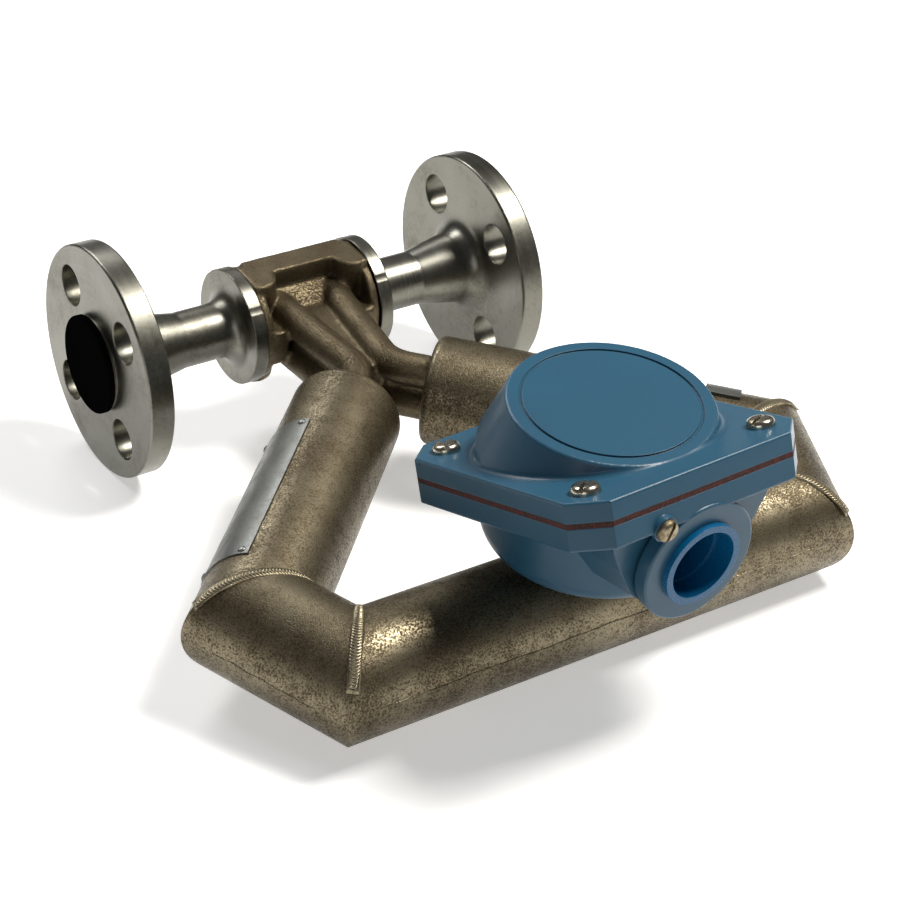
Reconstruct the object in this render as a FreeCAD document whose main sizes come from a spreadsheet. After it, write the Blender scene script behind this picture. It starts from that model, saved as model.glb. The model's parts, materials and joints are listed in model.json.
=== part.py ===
"""Coriolis mass flow meter: flanged manifold, two flow tubes in a tubular case, slanted junction box.

The pipe axis is X, flow runs from the inlet flange at X = 0 to the outlet flange, the loop lies in the
XY plane towards -Y, and the junction box stands on the base tube towards +Z. All sizes are millimetres.
"""
import FreeCAD, Part
import math
import os
import Sketcher

from FreeCAD import Placement, Rotation, Vector

os.makedirs("parts", exist_ok=True)

SIZES = {
    "face_to_face": 173.3,
    "flange_diameter": 88.9,
    "flange_thickness": 9.6,
    "flange_rounding": 0.8,
    "raised_face_diameter": 34.9,
    "raised_face_height": 1.6,
    "bolt_circle": 60.3,
    "bolt_hole_diameter": 15.9,
    "bolt_count": 4,
    "pipe_bore": 15.8,
    "hub_diameter": 30.2,
    "hub_length": 24,
    "hub_fillet": 7,
    "neck_diameter": 21.4,
    "neck_fillet": 6,
    "collar_diameter": 44.8,
    "collar_thickness": 5.2,
    "collar_setback": 30,
    "protector_diameter": 37.4,
    "protector_thickness": 2.6,
    "protector_stem": 12,
    "protector_wall": 1.4,
    "running_clearance": 0.05,
    "casting_disc_diameter": 43.2,
    "casting_disc_thickness": 3.6,
    "casting_height": 43.4,
    "casting_wall_front": 2.4,
    "casting_wall_back": 9,
    "casting_body_diameter": 27,
    "boss_radius": 8.2,
    "boss_offset": 21,
    "boss_forward": 2.5,
    "lug_width": 6,
    "lug_height": 14,
    "lug_reach": 21.6,
    "arm_diameter": 12.4,
    "arm_root_diameter": 16.4,
    "arm_root_offset": 12.5,
    "arm_root_length": 46,
    "arm_fill_height": 17,
    "arm_web": 4,
    "arm_bend_radius": 15,
    "arm_bore": 6.1,
    "arm_socket": 12,
    "arm_overrun": 5,
    "socket_gap": 0.5,
    "leg_gap": 21,
    "leg_drop": 71.3,
    "leg_length": 117.3,
    "leg_angle": 45,
    "corner_length": 40.1,
    "corner_angle": 22.5,
    "case_diameter": 40.8,
    "case_wall": 1.65,
    "cap_thickness": 4.5,
    "cap_rounding": 3.2,
    "weld_width": 3.6,
    "weld_height": 0.9,
    "weld_foot": 3,
    "tube_spacing": 14.5,
    "tube_diameter": 7.9,
    "tube_wall": 0.9,
    "tube_bend_radius": 26,
    "brace_setback": 13,
    "brace_thickness": 2.4,
    "brace_width": 12,
    "brace_length": 26,
    "pickup_offset": 10.2,
    "pickup_station": 62,
    "magnet_diameter": 4.4,
    "magnet_length": 9.5,
    "coil_bore": 6,
    "coil_diameter": 9.4,
    "coil_height": 8.5,
    "coil_groove": 0.6,
    "tab_gap": 1,
    "tab_width": 7.4,
    "bracket_thickness": 3,
    "bracket_width": 10.8,
    "bracket_height": 2.2,
    "probe_diameter": 3,
    "probe_length": 14,
    "plate_thickness": 0.6,
    "plate_length": 78,
    "plate_arc": 69,
    "plate_start": 30,
    "plate_turn": 196,
    "rivet_diameter": 3,
    "rivet_height": 0.7,
    "rivet_inset": 2.1,
    "rivet_margin": 7.2,
    "tag_length": 13,
    "tag_arc": 24,
    "tag_thickness": 1.2,
    "tag_station": 108.5,
    "tag_turn": 184,
    "box_turn": 2.7,
    "box_slant": 23.1,
    "cover_height": 64.2,
    "cover_width": 91.6,
    "cover_depth": 99.5,
    "cover_shift": 2.3,
    "cover_chamfer": 10,
    "cover_thickness": 6.4,
    "cover_rounding": 0.9,
    "gasket_thickness": 1.8,
    "body_flange_thickness": 7.4,
    "drum_diameter": 67.2,
    "drum_top": 78.9,
    "drum_foot_diameter": 82,
    "drum_foot": 60.2,
    "drum_rounding": 1.2,
    "drum_blend": 2,
    "drum_rim": 4.2,
    "drum_groove_width": 1,
    "drum_groove_depth": 0.6,
    "box_wall": 3,
    "bowl_diameter": 75,
    "bowl_floor": 25.5,
    "bowl_rounding": 7.8,
    "bowl_overrun": 20,
    "box_neck_diameter": 30,
    "box_neck_bore": 20,
    "hub_height": 49.5,
    "hub_reach": 49.6,
    "hub_ring_diameter": 42.9,
    "hub_ring_thickness": 5.5,
    "hub_ring_rounding": 0.8,
    "hub_boss_diameter": 36,
    "front_reach": 43.5,
    "front_top": 72,
    "front_top_width": 66,
    "front_high": 61,
    "front_high_width": 62,
    "front_middle": 52,
    "front_middle_width": 54,
    "front_low": 40,
    "front_low_width": 41,
    "front_foot": 30.5,
    "front_foot_width": 20,
    "front_root_width": 70,
    "conduit_diameter": 26.4,
    "conduit_plug_diameter": 29,
    "conduit_plug_rim": 2,
    "conduit_plug_length": 15,
    "conduit_plug_wall": 1.1,
    "conduit_plug_step": 1.2,
    "conduit_plug_step_depth": 6,
    "cover_screw_spacing_x": 70,
    "cover_screw_spacing_y": 73.6,
    "screw_head_diameter": 9.3,
    "screw_head_height": 2.7,
    "screw_rounding_share": 0.7,
    "screw_slot": 1.3,
    "screw_diameter": 4.8,
    "screw_length": 12,
    "ground_screw_x": 17.2,
    "ground_screw_height": 69,
    "ground_head_diameter": 7.4,
    "ground_head_height": 2.3,
    "ground_boss_diameter": 8.6,
    "ground_boss_reach": 50,
    "ground_screw_length": 8.4,
    "ground_hole_depth": 9,
    "terminal_length": 32,
    "terminal_width": 14,
    "terminal_height": 11,
    "terminal_count": 5,
    "terminal_screw_diameter": 4,
    "terminal_screw_height": 2,
    "terminal_well_diameter": 5,
    "terminal_well_depth": 3,
    "terminal_gap": 1,
    "header_thickness": 3,
    "header_pin_diameter": 1,
    "header_pin_count": 9,
    "header_pin_circle": 12.4,
}

doc = FreeCAD.newDocument("flow_meter")
sheet = doc.addObject("Spreadsheet::Sheet", "sizes")
for row, (alias, size) in enumerate(SIZES.items(), start=1):
    sheet.set("A%d" % row, alias)
    sheet.set("B%d" % row, str(size))
    sheet.setAlias("B%d" % row, alias)
doc.recompute()

PIECES = []


def val(expression):
    """Number that an expression in the sheet's names gives now."""
    return float(sheet.evalExpression(expression))


def linked(expression):
    """The same expression with every size read from the sheet object."""
    words = []
    for word in expression.replace("(", " ( ").replace(")", " ) ").split():
        words.append("sizes." + word if word in SIZES else word)
    return " ".join(words)


def bind(obj, name, expression):
    """Tie one property of an object to the sheet."""
    obj.setExpression(name, linked(expression))


def finish(obj, label):
    """Give a piece its own label and list it for export."""
    obj.Label = label
    PIECES.append(obj)
    return obj


def unit(vector):
    """Copy of a vector, one long."""
    return Vector(vector).normalize()


def mid():
    """X of the plane halfway between the two flange faces."""
    return val("face_to_face / 2")


def at(x, y, z=0.0):
    """Point given from the middle of the pipe axis."""
    return Vector(mid() + x, y, z)


def loop_points():
    """Centreline corners of the right half of the case: leg end, outer corner, base corner."""
    leg = math.radians(val("leg_angle"))
    corner = math.radians(val("corner_angle"))
    start = Vector(val("leg_gap"), -val("leg_drop"), 0)
    knee = start + Vector(math.cos(leg), -math.sin(leg), 0) * val("leg_length")
    foot = knee + Vector(-math.sin(corner), -math.cos(corner), 0) * val("corner_length")
    return start, knee, foot


def mirrored(point, side):
    """Point of the right half moved to the given side, in the row's frame."""
    return at(side * point.x, point.y, point.z)


def turn_to(direction):
    """Rotation that brings +Z onto a direction."""
    return Rotation(Vector(0, 0, 1), direction)


def cylinder(name, diameter, length, place):
    """Round bar with its diameter and length bound to the sheet."""
    bar = doc.addObject("Part::Cylinder", name)
    bind(bar, "Radius", "( " + diameter + " ) / 2")
    bind(bar, "Height", length)
    bar.Placement = place
    return bar


def block(name, length, width, height, place, centred=True):
    """Box with bound sides, centred on its place in X and Y unless told otherwise."""
    box = doc.addObject("Part::Box", name)
    bind(box, "Length", length)
    bind(box, "Width", width)
    bind(box, "Height", height)
    if centred:
        offset = Placement(Vector(-val(length) / 2, -val(width) / 2, 0), Rotation())
        place = place.multiply(offset)
    box.Placement = place
    return box


def cut(name, base, *tools):
    """Base less each tool in turn."""
    result = base
    for count, tool in enumerate(tools):
        step = doc.addObject("Part::Cut", name if count == len(tools) - 1 else "%s_step%d" % (name, count))
        step.Base = result
        step.Tool = tool
        result = step
    return result


def fuse(name, *shapes):
    """Several shapes as one solid."""
    result = doc.addObject("Part::MultiFuse", name)
    result.Shapes = list(shapes)
    result.Refine = True
    return result


def common(name, *shapes):
    """What several shapes share."""
    result = doc.addObject("Part::MultiCommon", name)
    result.Shapes = list(shapes)
    return result


def wire_object(name, wire):
    """Path held as a document object so that a sweep can follow it."""
    path = doc.addObject("Part::Feature", name)
    path.Shape = wire
    return path


def sweep(name, path, diameter):
    """Round bar along a path, its diameter bound to the sheet."""
    first = path.Shape.OrderedEdges[0]
    start = path.Shape.OrderedVertexes[0].Point
    ends = [vertex.Point for vertex in first.Vertexes]
    parameter = first.FirstParameter if (ends[0] - start).Length < 1e-6 else first.LastParameter
    tangent = first.tangentAt(parameter)
    circle = doc.addObject("Part::Circle", name + "_section")
    bind(circle, "Radius", "( " + diameter + " ) / 2")
    circle.Placement = Placement(start, turn_to(tangent))
    result = doc.addObject("Part::Sweep", name)
    result.Sections = [circle]
    result.Spine = (path, ["Edge%d" % (count + 1) for count in range(len(path.Shape.Edges))])
    result.Solid = True
    result.Transition = "Right corner"
    return result


def rounded_path(points, radius):
    """Wire through points with an arc of the given radius at each inner corner."""
    edges = []
    last = points[0]
    for before, corner, after in zip(points, points[1:], points[2:]):
        back = (before - corner).normalize()
        ahead = (after - corner).normalize()
        half = back.getAngle(ahead) / 2
        reach = radius / math.tan(half)
        entry = corner + back * reach
        leave = corner + ahead * reach
        bisector = (back + ahead).normalize()
        centre = corner + bisector * (radius / math.sin(half))
        middle = centre - bisector * radius
        edges.append(Part.LineSegment(last, entry).toShape())
        edges.append(Part.Arc(entry, middle, leave).toShape())
        last = leave
    edges.append(Part.LineSegment(last, points[-1]).toShape())
    return Part.Wire(edges)


def role_plane(body, role):
    """Origin plane of a body, found by its role."""
    return [feature for feature in body.Origin.OriginFeatures if feature.Role == role][0]


def new_sketch(body, name, role):
    """Sketch attached to one of the body's own origin planes."""
    sketch = body.newObject("Sketcher::SketchObject", name)
    sketch.AttachmentSupport = [(role_plane(body, role), "")]
    sketch.MapMode = "FlatFace"
    return sketch


def outline(sketch, corners):
    """Closed outline of straight lines whose corners are bound to the sheet."""
    places = [Vector(val(x), val(y), 0) for x, y in corners]
    lines = []
    for start, end in zip(places, places[1:] + places[:1]):
        lines.append(sketch.addGeometry(Part.LineSegment(start, end)))
    for count, line in enumerate(lines):
        following = lines[(count + 1) % len(lines)]
        sketch.addConstraint(Sketcher.Constraint("Coincident", line, 2, following, 1))
    for line, place, (x, y) in zip(lines, places, corners):
        number = sketch.addConstraint(Sketcher.Constraint("DistanceX", -1, 1, line, 1, place.x))
        sketch.setExpression("Constraints[%d]" % number, linked(x))
        number = sketch.addConstraint(Sketcher.Constraint("DistanceY", -1, 1, line, 1, place.y))
        sketch.setExpression("Constraints[%d]" % number, linked(y))


def circle_in(sketch, x, y, diameter):
    """Circle in a sketch with its centre and radius bound to the sheet."""
    centre = Vector(val(x), val(y), 0)
    radius = val(diameter) / 2
    ring = sketch.addGeometry(Part.Circle(centre, Vector(0, 0, 1), radius))
    for kind, value, expression in (("DistanceX", centre.x, x), ("DistanceY", centre.y, y)):
        number = sketch.addConstraint(Sketcher.Constraint(kind, -1, 1, ring, 3, value))
        sketch.setExpression("Constraints[%d]" % number, linked(expression))
    number = sketch.addConstraint(Sketcher.Constraint("Radius", ring, radius))
    sketch.setExpression("Constraints[%d]" % number, linked("( " + diameter + " ) / 2"))


def turned(name, corners, place):
    """Body turned about its own Z axis from an outline of radius and height pairs."""
    body = doc.addObject("PartDesign::Body", name)
    sketch = new_sketch(body, name + "_profile", "XZ_Plane")
    outline(sketch, corners)
    turn = body.newObject("PartDesign::Revolution", name + "_turn")
    turn.Profile = sketch
    turn.ReferenceAxis = (sketch, ["V_Axis"])
    turn.Angle = 360
    body.Placement = place
    doc.recompute()
    return body


def round_edges(body, name, radius, wanted):
    """Fillet on the edges that the wanted test picks from the body's last feature."""
    base = body.Tip
    names = ["Edge%d" % (count + 1) for count, edge in enumerate(base.Shape.Edges) if wanted(edge)]
    fillet = body.newObject("PartDesign::Fillet", name)
    fillet.Base = (base, names)
    bind(fillet, "Radius", radius)
    doc.recompute()
    return fillet


def ring_edge(radius, height, tolerance=0.02):
    """Test for a full circle of a given radius at a given height on the body's axis."""
    def wanted(edge):
        curve = edge.Curve
        if not isinstance(curve, Part.Circle):
            return False
        return abs(curve.Radius - radius) < tolerance and abs(curve.Center.z - height) < tolerance
    return wanted


def level_edge(height):
    """Test for an edge that lies wholly at a given height."""
    def wanted(edge):
        return all(abs(vertex.Point.z - height) < 1e-4 for vertex in edge.Vertexes)
    return wanted


def any_of(*tests):
    """Test that passes where one of several does."""
    return lambda edge: any(test(edge) for test in tests)


def flange_spool(name, side):
    """Raised-face flange, tapered neck and collar turned from one bar; local +Z points out of the flange."""
    back = "raised_face_height + flange_thickness"
    total = "face_to_face / 2 - collar_setback + collar_thickness"
    taper_end = back + " + hub_length"
    neck_end = total + " - collar_thickness"
    corners = [
        ("pipe_bore / 2", "0"),
        ("raised_face_diameter / 2", "0"),
        ("raised_face_diameter / 2", "- raised_face_height"),
        ("flange_diameter / 2", "- raised_face_height"),
        ("flange_diameter / 2", "- ( " + back + " )"),
        ("hub_diameter / 2", "- ( " + back + " )"),
        ("neck_diameter / 2", "- ( " + taper_end + " )"),
        ("neck_diameter / 2", "- ( " + neck_end + " )"),
        ("collar_diameter / 2", "- ( " + neck_end + " )"),
        ("collar_diameter / 2", "- ( " + total + " )"),
        ("pipe_bore / 2", "- ( " + total + " )"),
    ]
    place = Placement(at(side * mid(), 0), turn_to(Vector(side, 0, 0)))
    body = turned(name, corners, place)
    hole_sketch = new_sketch(body, name + "_hole_place", "XY_Plane")
    circle_in(hole_sketch, "bolt_circle / 2 ^ 1.5", "bolt_circle / 2 ^ 1.5", "bolt_hole_diameter")
    pocket = body.newObject("PartDesign::Pocket", name + "_hole")
    pocket.Profile = hole_sketch
    pocket.Type = "ThroughAll"
    pocket.Midplane = True
    doc.recompute()
    pattern = body.newObject("PartDesign::PolarPattern", name + "_holes")
    pattern.Originals = [pocket]
    pattern.Axis = (hole_sketch, ["N_Axis"])
    pattern.Angle = 360
    bind(pattern, "Occurrences", "bolt_count")
    body.Tip = pattern
    doc.recompute()
    back_z = -val(back)
    round_edges(body, name + "_rim", "flange_rounding", any_of(
        ring_edge(val("flange_diameter / 2"), back_z),
        ring_edge(val("flange_diameter / 2"), -val("raised_face_height"))))
    round_edges(body, name + "_hub_blend", "hub_fillet", ring_edge(val("hub_diameter / 2"), back_z))
    neck_z = -val(neck_end)
    round_edges(body, name + "_neck_blend", "neck_fillet", ring_edge(val("neck_diameter / 2"), neck_z))
    return finish(body, name)


def flange_protector(name, side):
    """Plastic cap pressed into the bore, its disc flat on the raised face."""
    stem = "pipe_bore / 2 - running_clearance"
    corners = [
        ("0", "0"),
        (stem + " - protector_wall", "0"),
        (stem + " - protector_wall", "- protector_stem"),
        (stem, "- protector_stem"),
        (stem, "0"),
        ("protector_diameter / 2", "0"),
        ("protector_diameter / 2", "protector_thickness"),
        ("0", "protector_thickness"),
    ]
    place = Placement(at(side * mid(), 0), turn_to(Vector(side, 0, 0)))
    body = turned(name, corners, place)
    round_edges(body, name + "_edge", "protector_wall / 2",
                ring_edge(val("protector_diameter / 2"), val("protector_thickness")))
    return finish(body, name)


def arm_points(side, level):
    """Corners of one manifold arm's centreline, from the pipe axis to the case leg."""
    start, knee, foot = loop_points()
    leg = (knee - start).normalize()
    meet = start - leg * ((start.x - val("arm_diameter") / 2) / leg.x)
    root = Vector(val("arm_root_offset"), 0, 0)
    lift = Vector(0, 0, level * val("tube_spacing") / 2)
    return [mirrored(point + lift, side) for point in (root, meet, start)]


def along_pipe(x):
    """Place on the pipe axis whose +Z runs with the flow."""
    return Placement(at(x, 0), turn_to(Vector(1, 0, 0)))


def manifold_end(name, side):
    """Casting disc, vertical boss and front lug behind one collar."""
    inner = val("collar_setback - collar_thickness")
    disc_x = inner - val("casting_disc_thickness") if side > 0 else -inner
    disc = cylinder(name + "_disc", "casting_disc_diameter", "casting_disc_thickness", along_pipe(disc_x))
    boss_foot = at(side * val("boss_offset"), -val("boss_forward"), -val("casting_height") / 2)
    bar = cylinder(name + "_boss_bar", "boss_radius * 2", "casting_height", Placement(boss_foot, Rotation()))
    keep_place = Placement(at(side * inner / 2, 0, -val("casting_height") / 2), Rotation())
    keep = block(name + "_boss_keep", "collar_setback - collar_thickness", "boss_radius * 4",
                 "casting_height", keep_place)
    boss = common(name + "_boss", bar, keep)
    lug_x = side * (inner - val("casting_disc_thickness") - val("lug_width") / 2)
    lug_place = Placement(at(lug_x, -val("lug_reach") / 2, -val("lug_height") / 2), Rotation())
    lug = block(name + "_lug", "lug_width", "lug_reach", "lug_height", lug_place)
    return [disc, boss, lug]


def manifold_arm(name, side, level):
    """One arm: a taper from the pipe axis and a bent bar to the case leg."""
    points = arm_points(side, level)
    path = wire_object(name + "_line", rounded_path(points, val("arm_bend_radius")))
    bar = sweep(name + "_bar", path, "arm_diameter")
    bore = sweep(name + "_bore", path, "arm_bore")
    root = doc.addObject("Part::Cone", name + "_root")
    bind(root, "Radius1", "arm_root_diameter / 2")
    bind(root, "Radius2", "arm_diameter / 2")
    bind(root, "Height", "arm_root_length")
    root.Placement = Placement(points[0], turn_to(points[1] - points[0]))
    socket_end = points[2]
    leg = (points[2] - points[1]).normalize()
    socket_start = socket_end - leg * val("arm_socket")
    socket = cylinder(name + "_socket", "tube_diameter + running_clearance * 4", "arm_socket + arm_overrun",
                      Placement(socket_start, turn_to(leg)))
    return [bar, root], [bore, socket]


def arm_web(name, side):
    """Flat web that joins the two stacked arms of one side."""
    points = arm_points(side, 0)
    half = val("arm_web") / 2
    up = Vector(0, 0, 1)
    pieces = []
    for count, (start, end) in enumerate(zip(points, points[1:])):
        run = end - start
        web = doc.addObject("Part::Box", "%s_%d" % (name, count))
        web.Length = run.Length
        bind(web, "Width", "arm_web")
        bind(web, "Height", "tube_spacing")
        angle = math.degrees(math.atan2(run.y, run.x))
        turn = Rotation(up, angle)
        corner = start + turn.multVec(Vector(0, -half, -val("tube_spacing") / 2))
        web.Placement = Placement(corner, turn)
        pieces.append(web)
    return pieces


def arm_fill():
    """Web that fills the valley between the inlet arms and the outlet arms."""
    root = arm_points(1, 0)[0]
    meet = arm_points(1, 0)[1]
    depth = Vector(0, 0, val("arm_fill_height"))
    lift = depth * 0.5
    back, ahead = root.x - mid(), meet.x - mid()
    corners = [at(-back, root.y), at(back, root.y), at(ahead, meet.y), at(-ahead, meet.y)]
    face = Part.Face(Part.makePolygon([corner - lift for corner in corners + corners[:1]]))
    return wire_object("manifold_fill", face.extrude(depth))


def manifold():
    """Casting that splits each pipe end into two stacked arms."""
    inner = "collar_setback - collar_thickness"
    reach = val(inner)
    solids = [cylinder("manifold_body", "casting_body_diameter", "( " + inner + " ) * 2", along_pipe(-reach))]
    wall_y = (val("casting_wall_back") - val("casting_wall_front")) / 2
    wall_place = Placement(at(0, wall_y, -val("casting_height") / 2), Rotation())
    solids.append(block("manifold_wall", "boss_offset * 2", "casting_wall_front + casting_wall_back",
                        "casting_height", wall_place))
    solids.append(arm_fill())
    hollows = []
    for side, word in ((-1, "inlet"), (1, "outlet")):
        solids += manifold_end("manifold_" + word, side)
        solids += arm_web("manifold_%s_web" % word, side)
        for level, height in ((1, "upper"), (-1, "lower")):
            bars, bores = manifold_arm("manifold_%s_%s" % (word, height), side, level)
            solids += bars
            hollows += bores
        bore_x = -reach - 1 if side < 0 else val("arm_root_offset - pipe_bore / 2")
        hollows.append(cylinder("manifold_%s_pipe" % word, "pipe_bore",
                                "%s + 1 - arm_root_offset + pipe_bore / 2" % inner, along_pipe(bore_x)))
    whole = fuse("manifold_whole", *solids)
    return finish(cut("manifold", whole, *hollows), "manifold")


def case_polygon(index, side):
    """Loop-plane outline of one stretch of the case, bounded by its mitres."""
    start, knee, foot = loop_points()
    reach = val("case_diameter")
    chain = [start, knee, foot, Vector(-foot.x, foot.y, 0)]
    first, last = chain[index], chain[index + 1]
    run = (last - first).normalize()
    across = Vector(-run.y, run.x, 0)

    def mitre(corner, before, after):
        back = (before - corner).normalize()
        ahead = (after - corner).normalize()
        return (back + ahead).normalize()

    if index == 0:
        near = across
    else:
        near = mitre(first, chain[index - 1], last)
    if index < 2:
        far = mitre(last, first, chain[index + 2])
    else:
        far = mitre(last, first, Vector(-knee.x, knee.y, 0))

    def spread(line):
        return line * (reach / abs(line.dot(across)))

    near = spread(near) * (1 if near.dot(across) > 0 else -1)
    far = spread(far) * (1 if far.dot(across) > 0 else -1)
    corners = [first - near, last - far, last + far, first + near]
    return [mirrored(corner, side) for corner in corners], mirrored(first, side), mirrored(last, side)


def case_tube(name, index, side):
    """Thin-walled stretch of the case cut to its mitres."""
    corners, first, last = case_polygon(index, side)
    run = last - first
    spare = val("case_diameter")
    start = first - unit(run) * (0 if index == 0 else spare)
    length = run.Length + spare * (1 if index == 0 else 2)
    place = Placement(start, turn_to(run))
    outer = cylinder(name + "_outer", "case_diameter", "0 + %.6f" % length, place)
    inner = cylinder(name + "_inner", "case_diameter - case_wall * 2", "0 + %.6f" % length, place)
    half = Vector(0, 0, val("case_diameter"))
    face = Part.Face(Part.makePolygon([corner - half for corner in corners + corners[:1]]))
    sector = wire_object(name + "_sector", face.extrude(half * 2))
    wall = cut(name + "_wall", outer, inner)
    return finish(common(name, wall, sector), name)


def leg_cap(name, side):
    """Rounded end that closes a case leg round the two manifold arms."""
    start, knee, foot = loop_points()
    first, second = mirrored(start, side), mirrored(knee, side)
    run = (second - first).normalize()
    corners = [
        ("0", "0"),
        ("case_diameter / 2", "0"),
        ("case_diameter / 2", "cap_thickness"),
        ("0", "cap_thickness"),
    ]
    body = turned(name + "_disc", corners, Placement(first, turn_to(run * -1)))
    round_edges(body, name + "_edge", "cap_rounding",
                ring_edge(val("case_diameter / 2"), val("cap_thickness")))
    depth = "cap_thickness + arm_overrun"
    rise = Vector(0, 0, val("tube_spacing") / 2)
    holes = []
    for level in (-1, 1):
        foot_point = first - run * val(depth) + rise * level
        holes.append(cylinder("%s_hole%d" % (name, level + 1), "arm_diameter", depth,
                              Placement(foot_point, turn_to(run))))
    slot_turn = Rotation(Vector(0, 0, 1), math.degrees(math.atan2(run.y, run.x)) - 90)
    web = block(name + "_slot", "arm_web", depth, "tube_spacing",
                Placement(first - run * (val(depth) / 2) - rise, slot_turn))
    return finish(cut(name, body, *holes, web), name)


def stretch_bar(index, side, radius):
    """Solid bar along one stretch of the case, cut to its mitres."""
    corners, first, last = case_polygon(index, side)
    run = last - first
    overrun = val("case_diameter")
    before = 0 if index == 0 else overrun
    start = first - unit(run) * before
    bar = Part.makeCylinder(radius, run.Length + before + overrun, start, run)
    half = Vector(0, 0, overrun)
    face = Part.Face(Part.makePolygon([corner - half for corner in corners + corners[:1]]))
    return bar.common(face.extrude(half * 2))


def mitre_slab(index, side, width):
    """Slab that straddles one mitre plane."""
    start, knee, foot = loop_points()
    chain = [start, knee, foot, Vector(-foot.x, foot.y, 0)]
    before, corner, after = [mirrored(point, side) for point in chain[index:index + 3]]
    across = (unit(before - corner) + unit(after - corner)).normalize()
    spread = val("case_diameter * 3")
    slab = Part.makeBox(width, spread, spread, Vector(-width / 2, -spread / 2, -spread / 2))
    up = Vector(0, 0, 1)
    slab.Placement = Placement(corner, Rotation(up.cross(across) * -1, across, up, "ZXY"))
    return slab


def weld_beads():
    """The four mitre beads as one group of solids, ground flush from the seam of the case down."""
    radius = val("case_diameter / 2")
    seat = radius + val("running_clearance / 2")
    crown = radius + val("weld_height")
    spread = val("case_diameter * 10")
    depth = val("case_diameter")
    underside = Part.makeBox(spread, spread, depth, at(-spread / 2, -spread, val("weld_foot") - depth))
    solids = []
    for index in (0, 1):
        for side in (-1, 1):
            crowns = [stretch_bar(step, side, crown) for step in (index, index + 1)]
            cores = [stretch_bar(step, side, seat) for step in (index, index + 1)]
            collar = crowns[0].fuse(crowns[1]).removeSplitter()
            bead = collar.common(mitre_slab(index, side, val("weld_width"))).cut(cores + [underside])
            solids += bead.Solids
    group = doc.addObject("Part::Feature", "mitre_welds")
    group.Shape = Part.makeCompound(solids)
    return finish(group, "mitre_welds")


def tube_points(level):
    """Corners of one flow tube's centreline, socket to socket."""
    start, knee, foot = loop_points()
    lift = Vector(0, 0, level * val("tube_spacing") / 2)
    back = (start - knee).normalize() * val("arm_socket - socket_gap")
    right = [start + back, knee, foot]
    left = [mirrored(point + lift, -1) for point in right]
    return left + [mirrored(point + lift, 1) for point in reversed(right)]


def flow_tube(name, level):
    """Bent tube that carries the fluid round the loop."""
    path = wire_object(name + "_line", rounded_path(tube_points(level), val("tube_bend_radius")))
    outer = sweep(name + "_outer", path, "tube_diameter")
    inner = sweep(name + "_inner", path, "tube_diameter - tube_wall * 2")
    return finish(cut(name, outer, inner), name)


def leg_frame(side, station):
    """Place on a leg's centreline: +X along the tube towards the base, +Y towards the inside of the loop."""
    start, knee, foot = loop_points()
    first, second = mirrored(start, side), mirrored(knee, side)
    run = (second - first).normalize()
    inside = Vector(0, 0, 1).cross(run) * (1 if side < 0 else -1)
    if side > 0:
        return Placement(first + run * station, Rotation(run * -1, inside, Vector(0, 0, 1), "ZXY"))
    return Placement(first + run * station, Rotation(run, inside, Vector(0, 0, 1), "ZXY"))


def base_frame():
    """Place at the middle of the base tube: +X along it, +Y towards the pipe."""
    start, knee, foot = loop_points()
    return Placement(at(0, foot.y), Rotation())


def moved(place, x, y, z, rotation=None):
    """Place offset inside another place."""
    return place.multiply(Placement(Vector(x, y, z), rotation or Rotation()))


ALONG = Rotation(Vector(0, 0, 1), Vector(1, 0, 0))


def brace_bar(name, side):
    """Plate that holds both flow tubes at the pivot of their vibration."""
    frame = leg_frame(side, val("brace_setback"))
    half = val("brace_thickness") / 2
    plate = block(name + "_plate", "brace_thickness", "brace_width", "brace_length",
                  moved(frame, 0, 0, -val("brace_length") / 2))
    holes = []
    for level in (-1, 1):
        place = moved(frame, -half - 1, 0, level * val("tube_spacing") / 2, ALONG)
        holes.append(cylinder("%s_hole%d" % (name, level + 1), "tube_diameter + running_clearance * 2",
                              "brace_thickness + 2", place))
    return finish(cut(name, plate, *holes), name)


def pickup_bracket(name, frame, level):
    """Plate clamped round one flow tube with a tab for a coil or a magnet."""
    height = val("tube_spacing") / 2
    saddle = block(name + "_saddle", "bracket_thickness", "bracket_width", "bracket_width",
                   moved(frame, 0, 0, level * height - val("bracket_width") / 2))
    tab_height = height + val("tab_gap")
    tab_foot = tab_height if level > 0 else -tab_height - val("bracket_height")
    reach = "pickup_offset + coil_diameter / 2"
    tab_place = moved(frame, 0, val(reach) / 2, tab_foot)
    tab = block(name + "_tab", "tab_width", reach, "bracket_height", tab_place)
    through = "coil_diameter * 2"
    hole = cylinder(name + "_hole", "tube_diameter", through,
                    moved(frame, -val(through) / 2, 0, level * height, ALONG))
    return finish(cut(name, fuse(name + "_solid", saddle, tab), hole), name)


def pickup_magnet(name, frame):
    """Bar magnet that hangs from the upper bracket into the coil."""
    top = val("tube_spacing / 2 + tab_gap")
    place = moved(frame, 0, val("pickup_offset"), top - val("magnet_length"))
    return finish(cylinder(name, "magnet_diameter", "magnet_length", place), name)


def pickup_coil(name, frame):
    """Wound coil that stands on the lower bracket round the magnet's end."""
    foot = -val("tube_spacing / 2 + tab_gap")
    place = moved(frame, 0, val("pickup_offset"), foot)
    rim = "bracket_height / 2"
    corners = [
        ("coil_bore / 2", "0"),
        ("coil_diameter / 2", "0"),
        ("coil_diameter / 2", rim),
        ("coil_diameter / 2 - coil_groove", rim),
        ("coil_diameter / 2 - coil_groove", "coil_height - " + rim),
        ("coil_diameter / 2", "coil_height - " + rim),
        ("coil_diameter / 2", "coil_height"),
        ("coil_bore / 2", "coil_height"),
    ]
    return finish(turned(name, corners, place), name)


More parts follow.
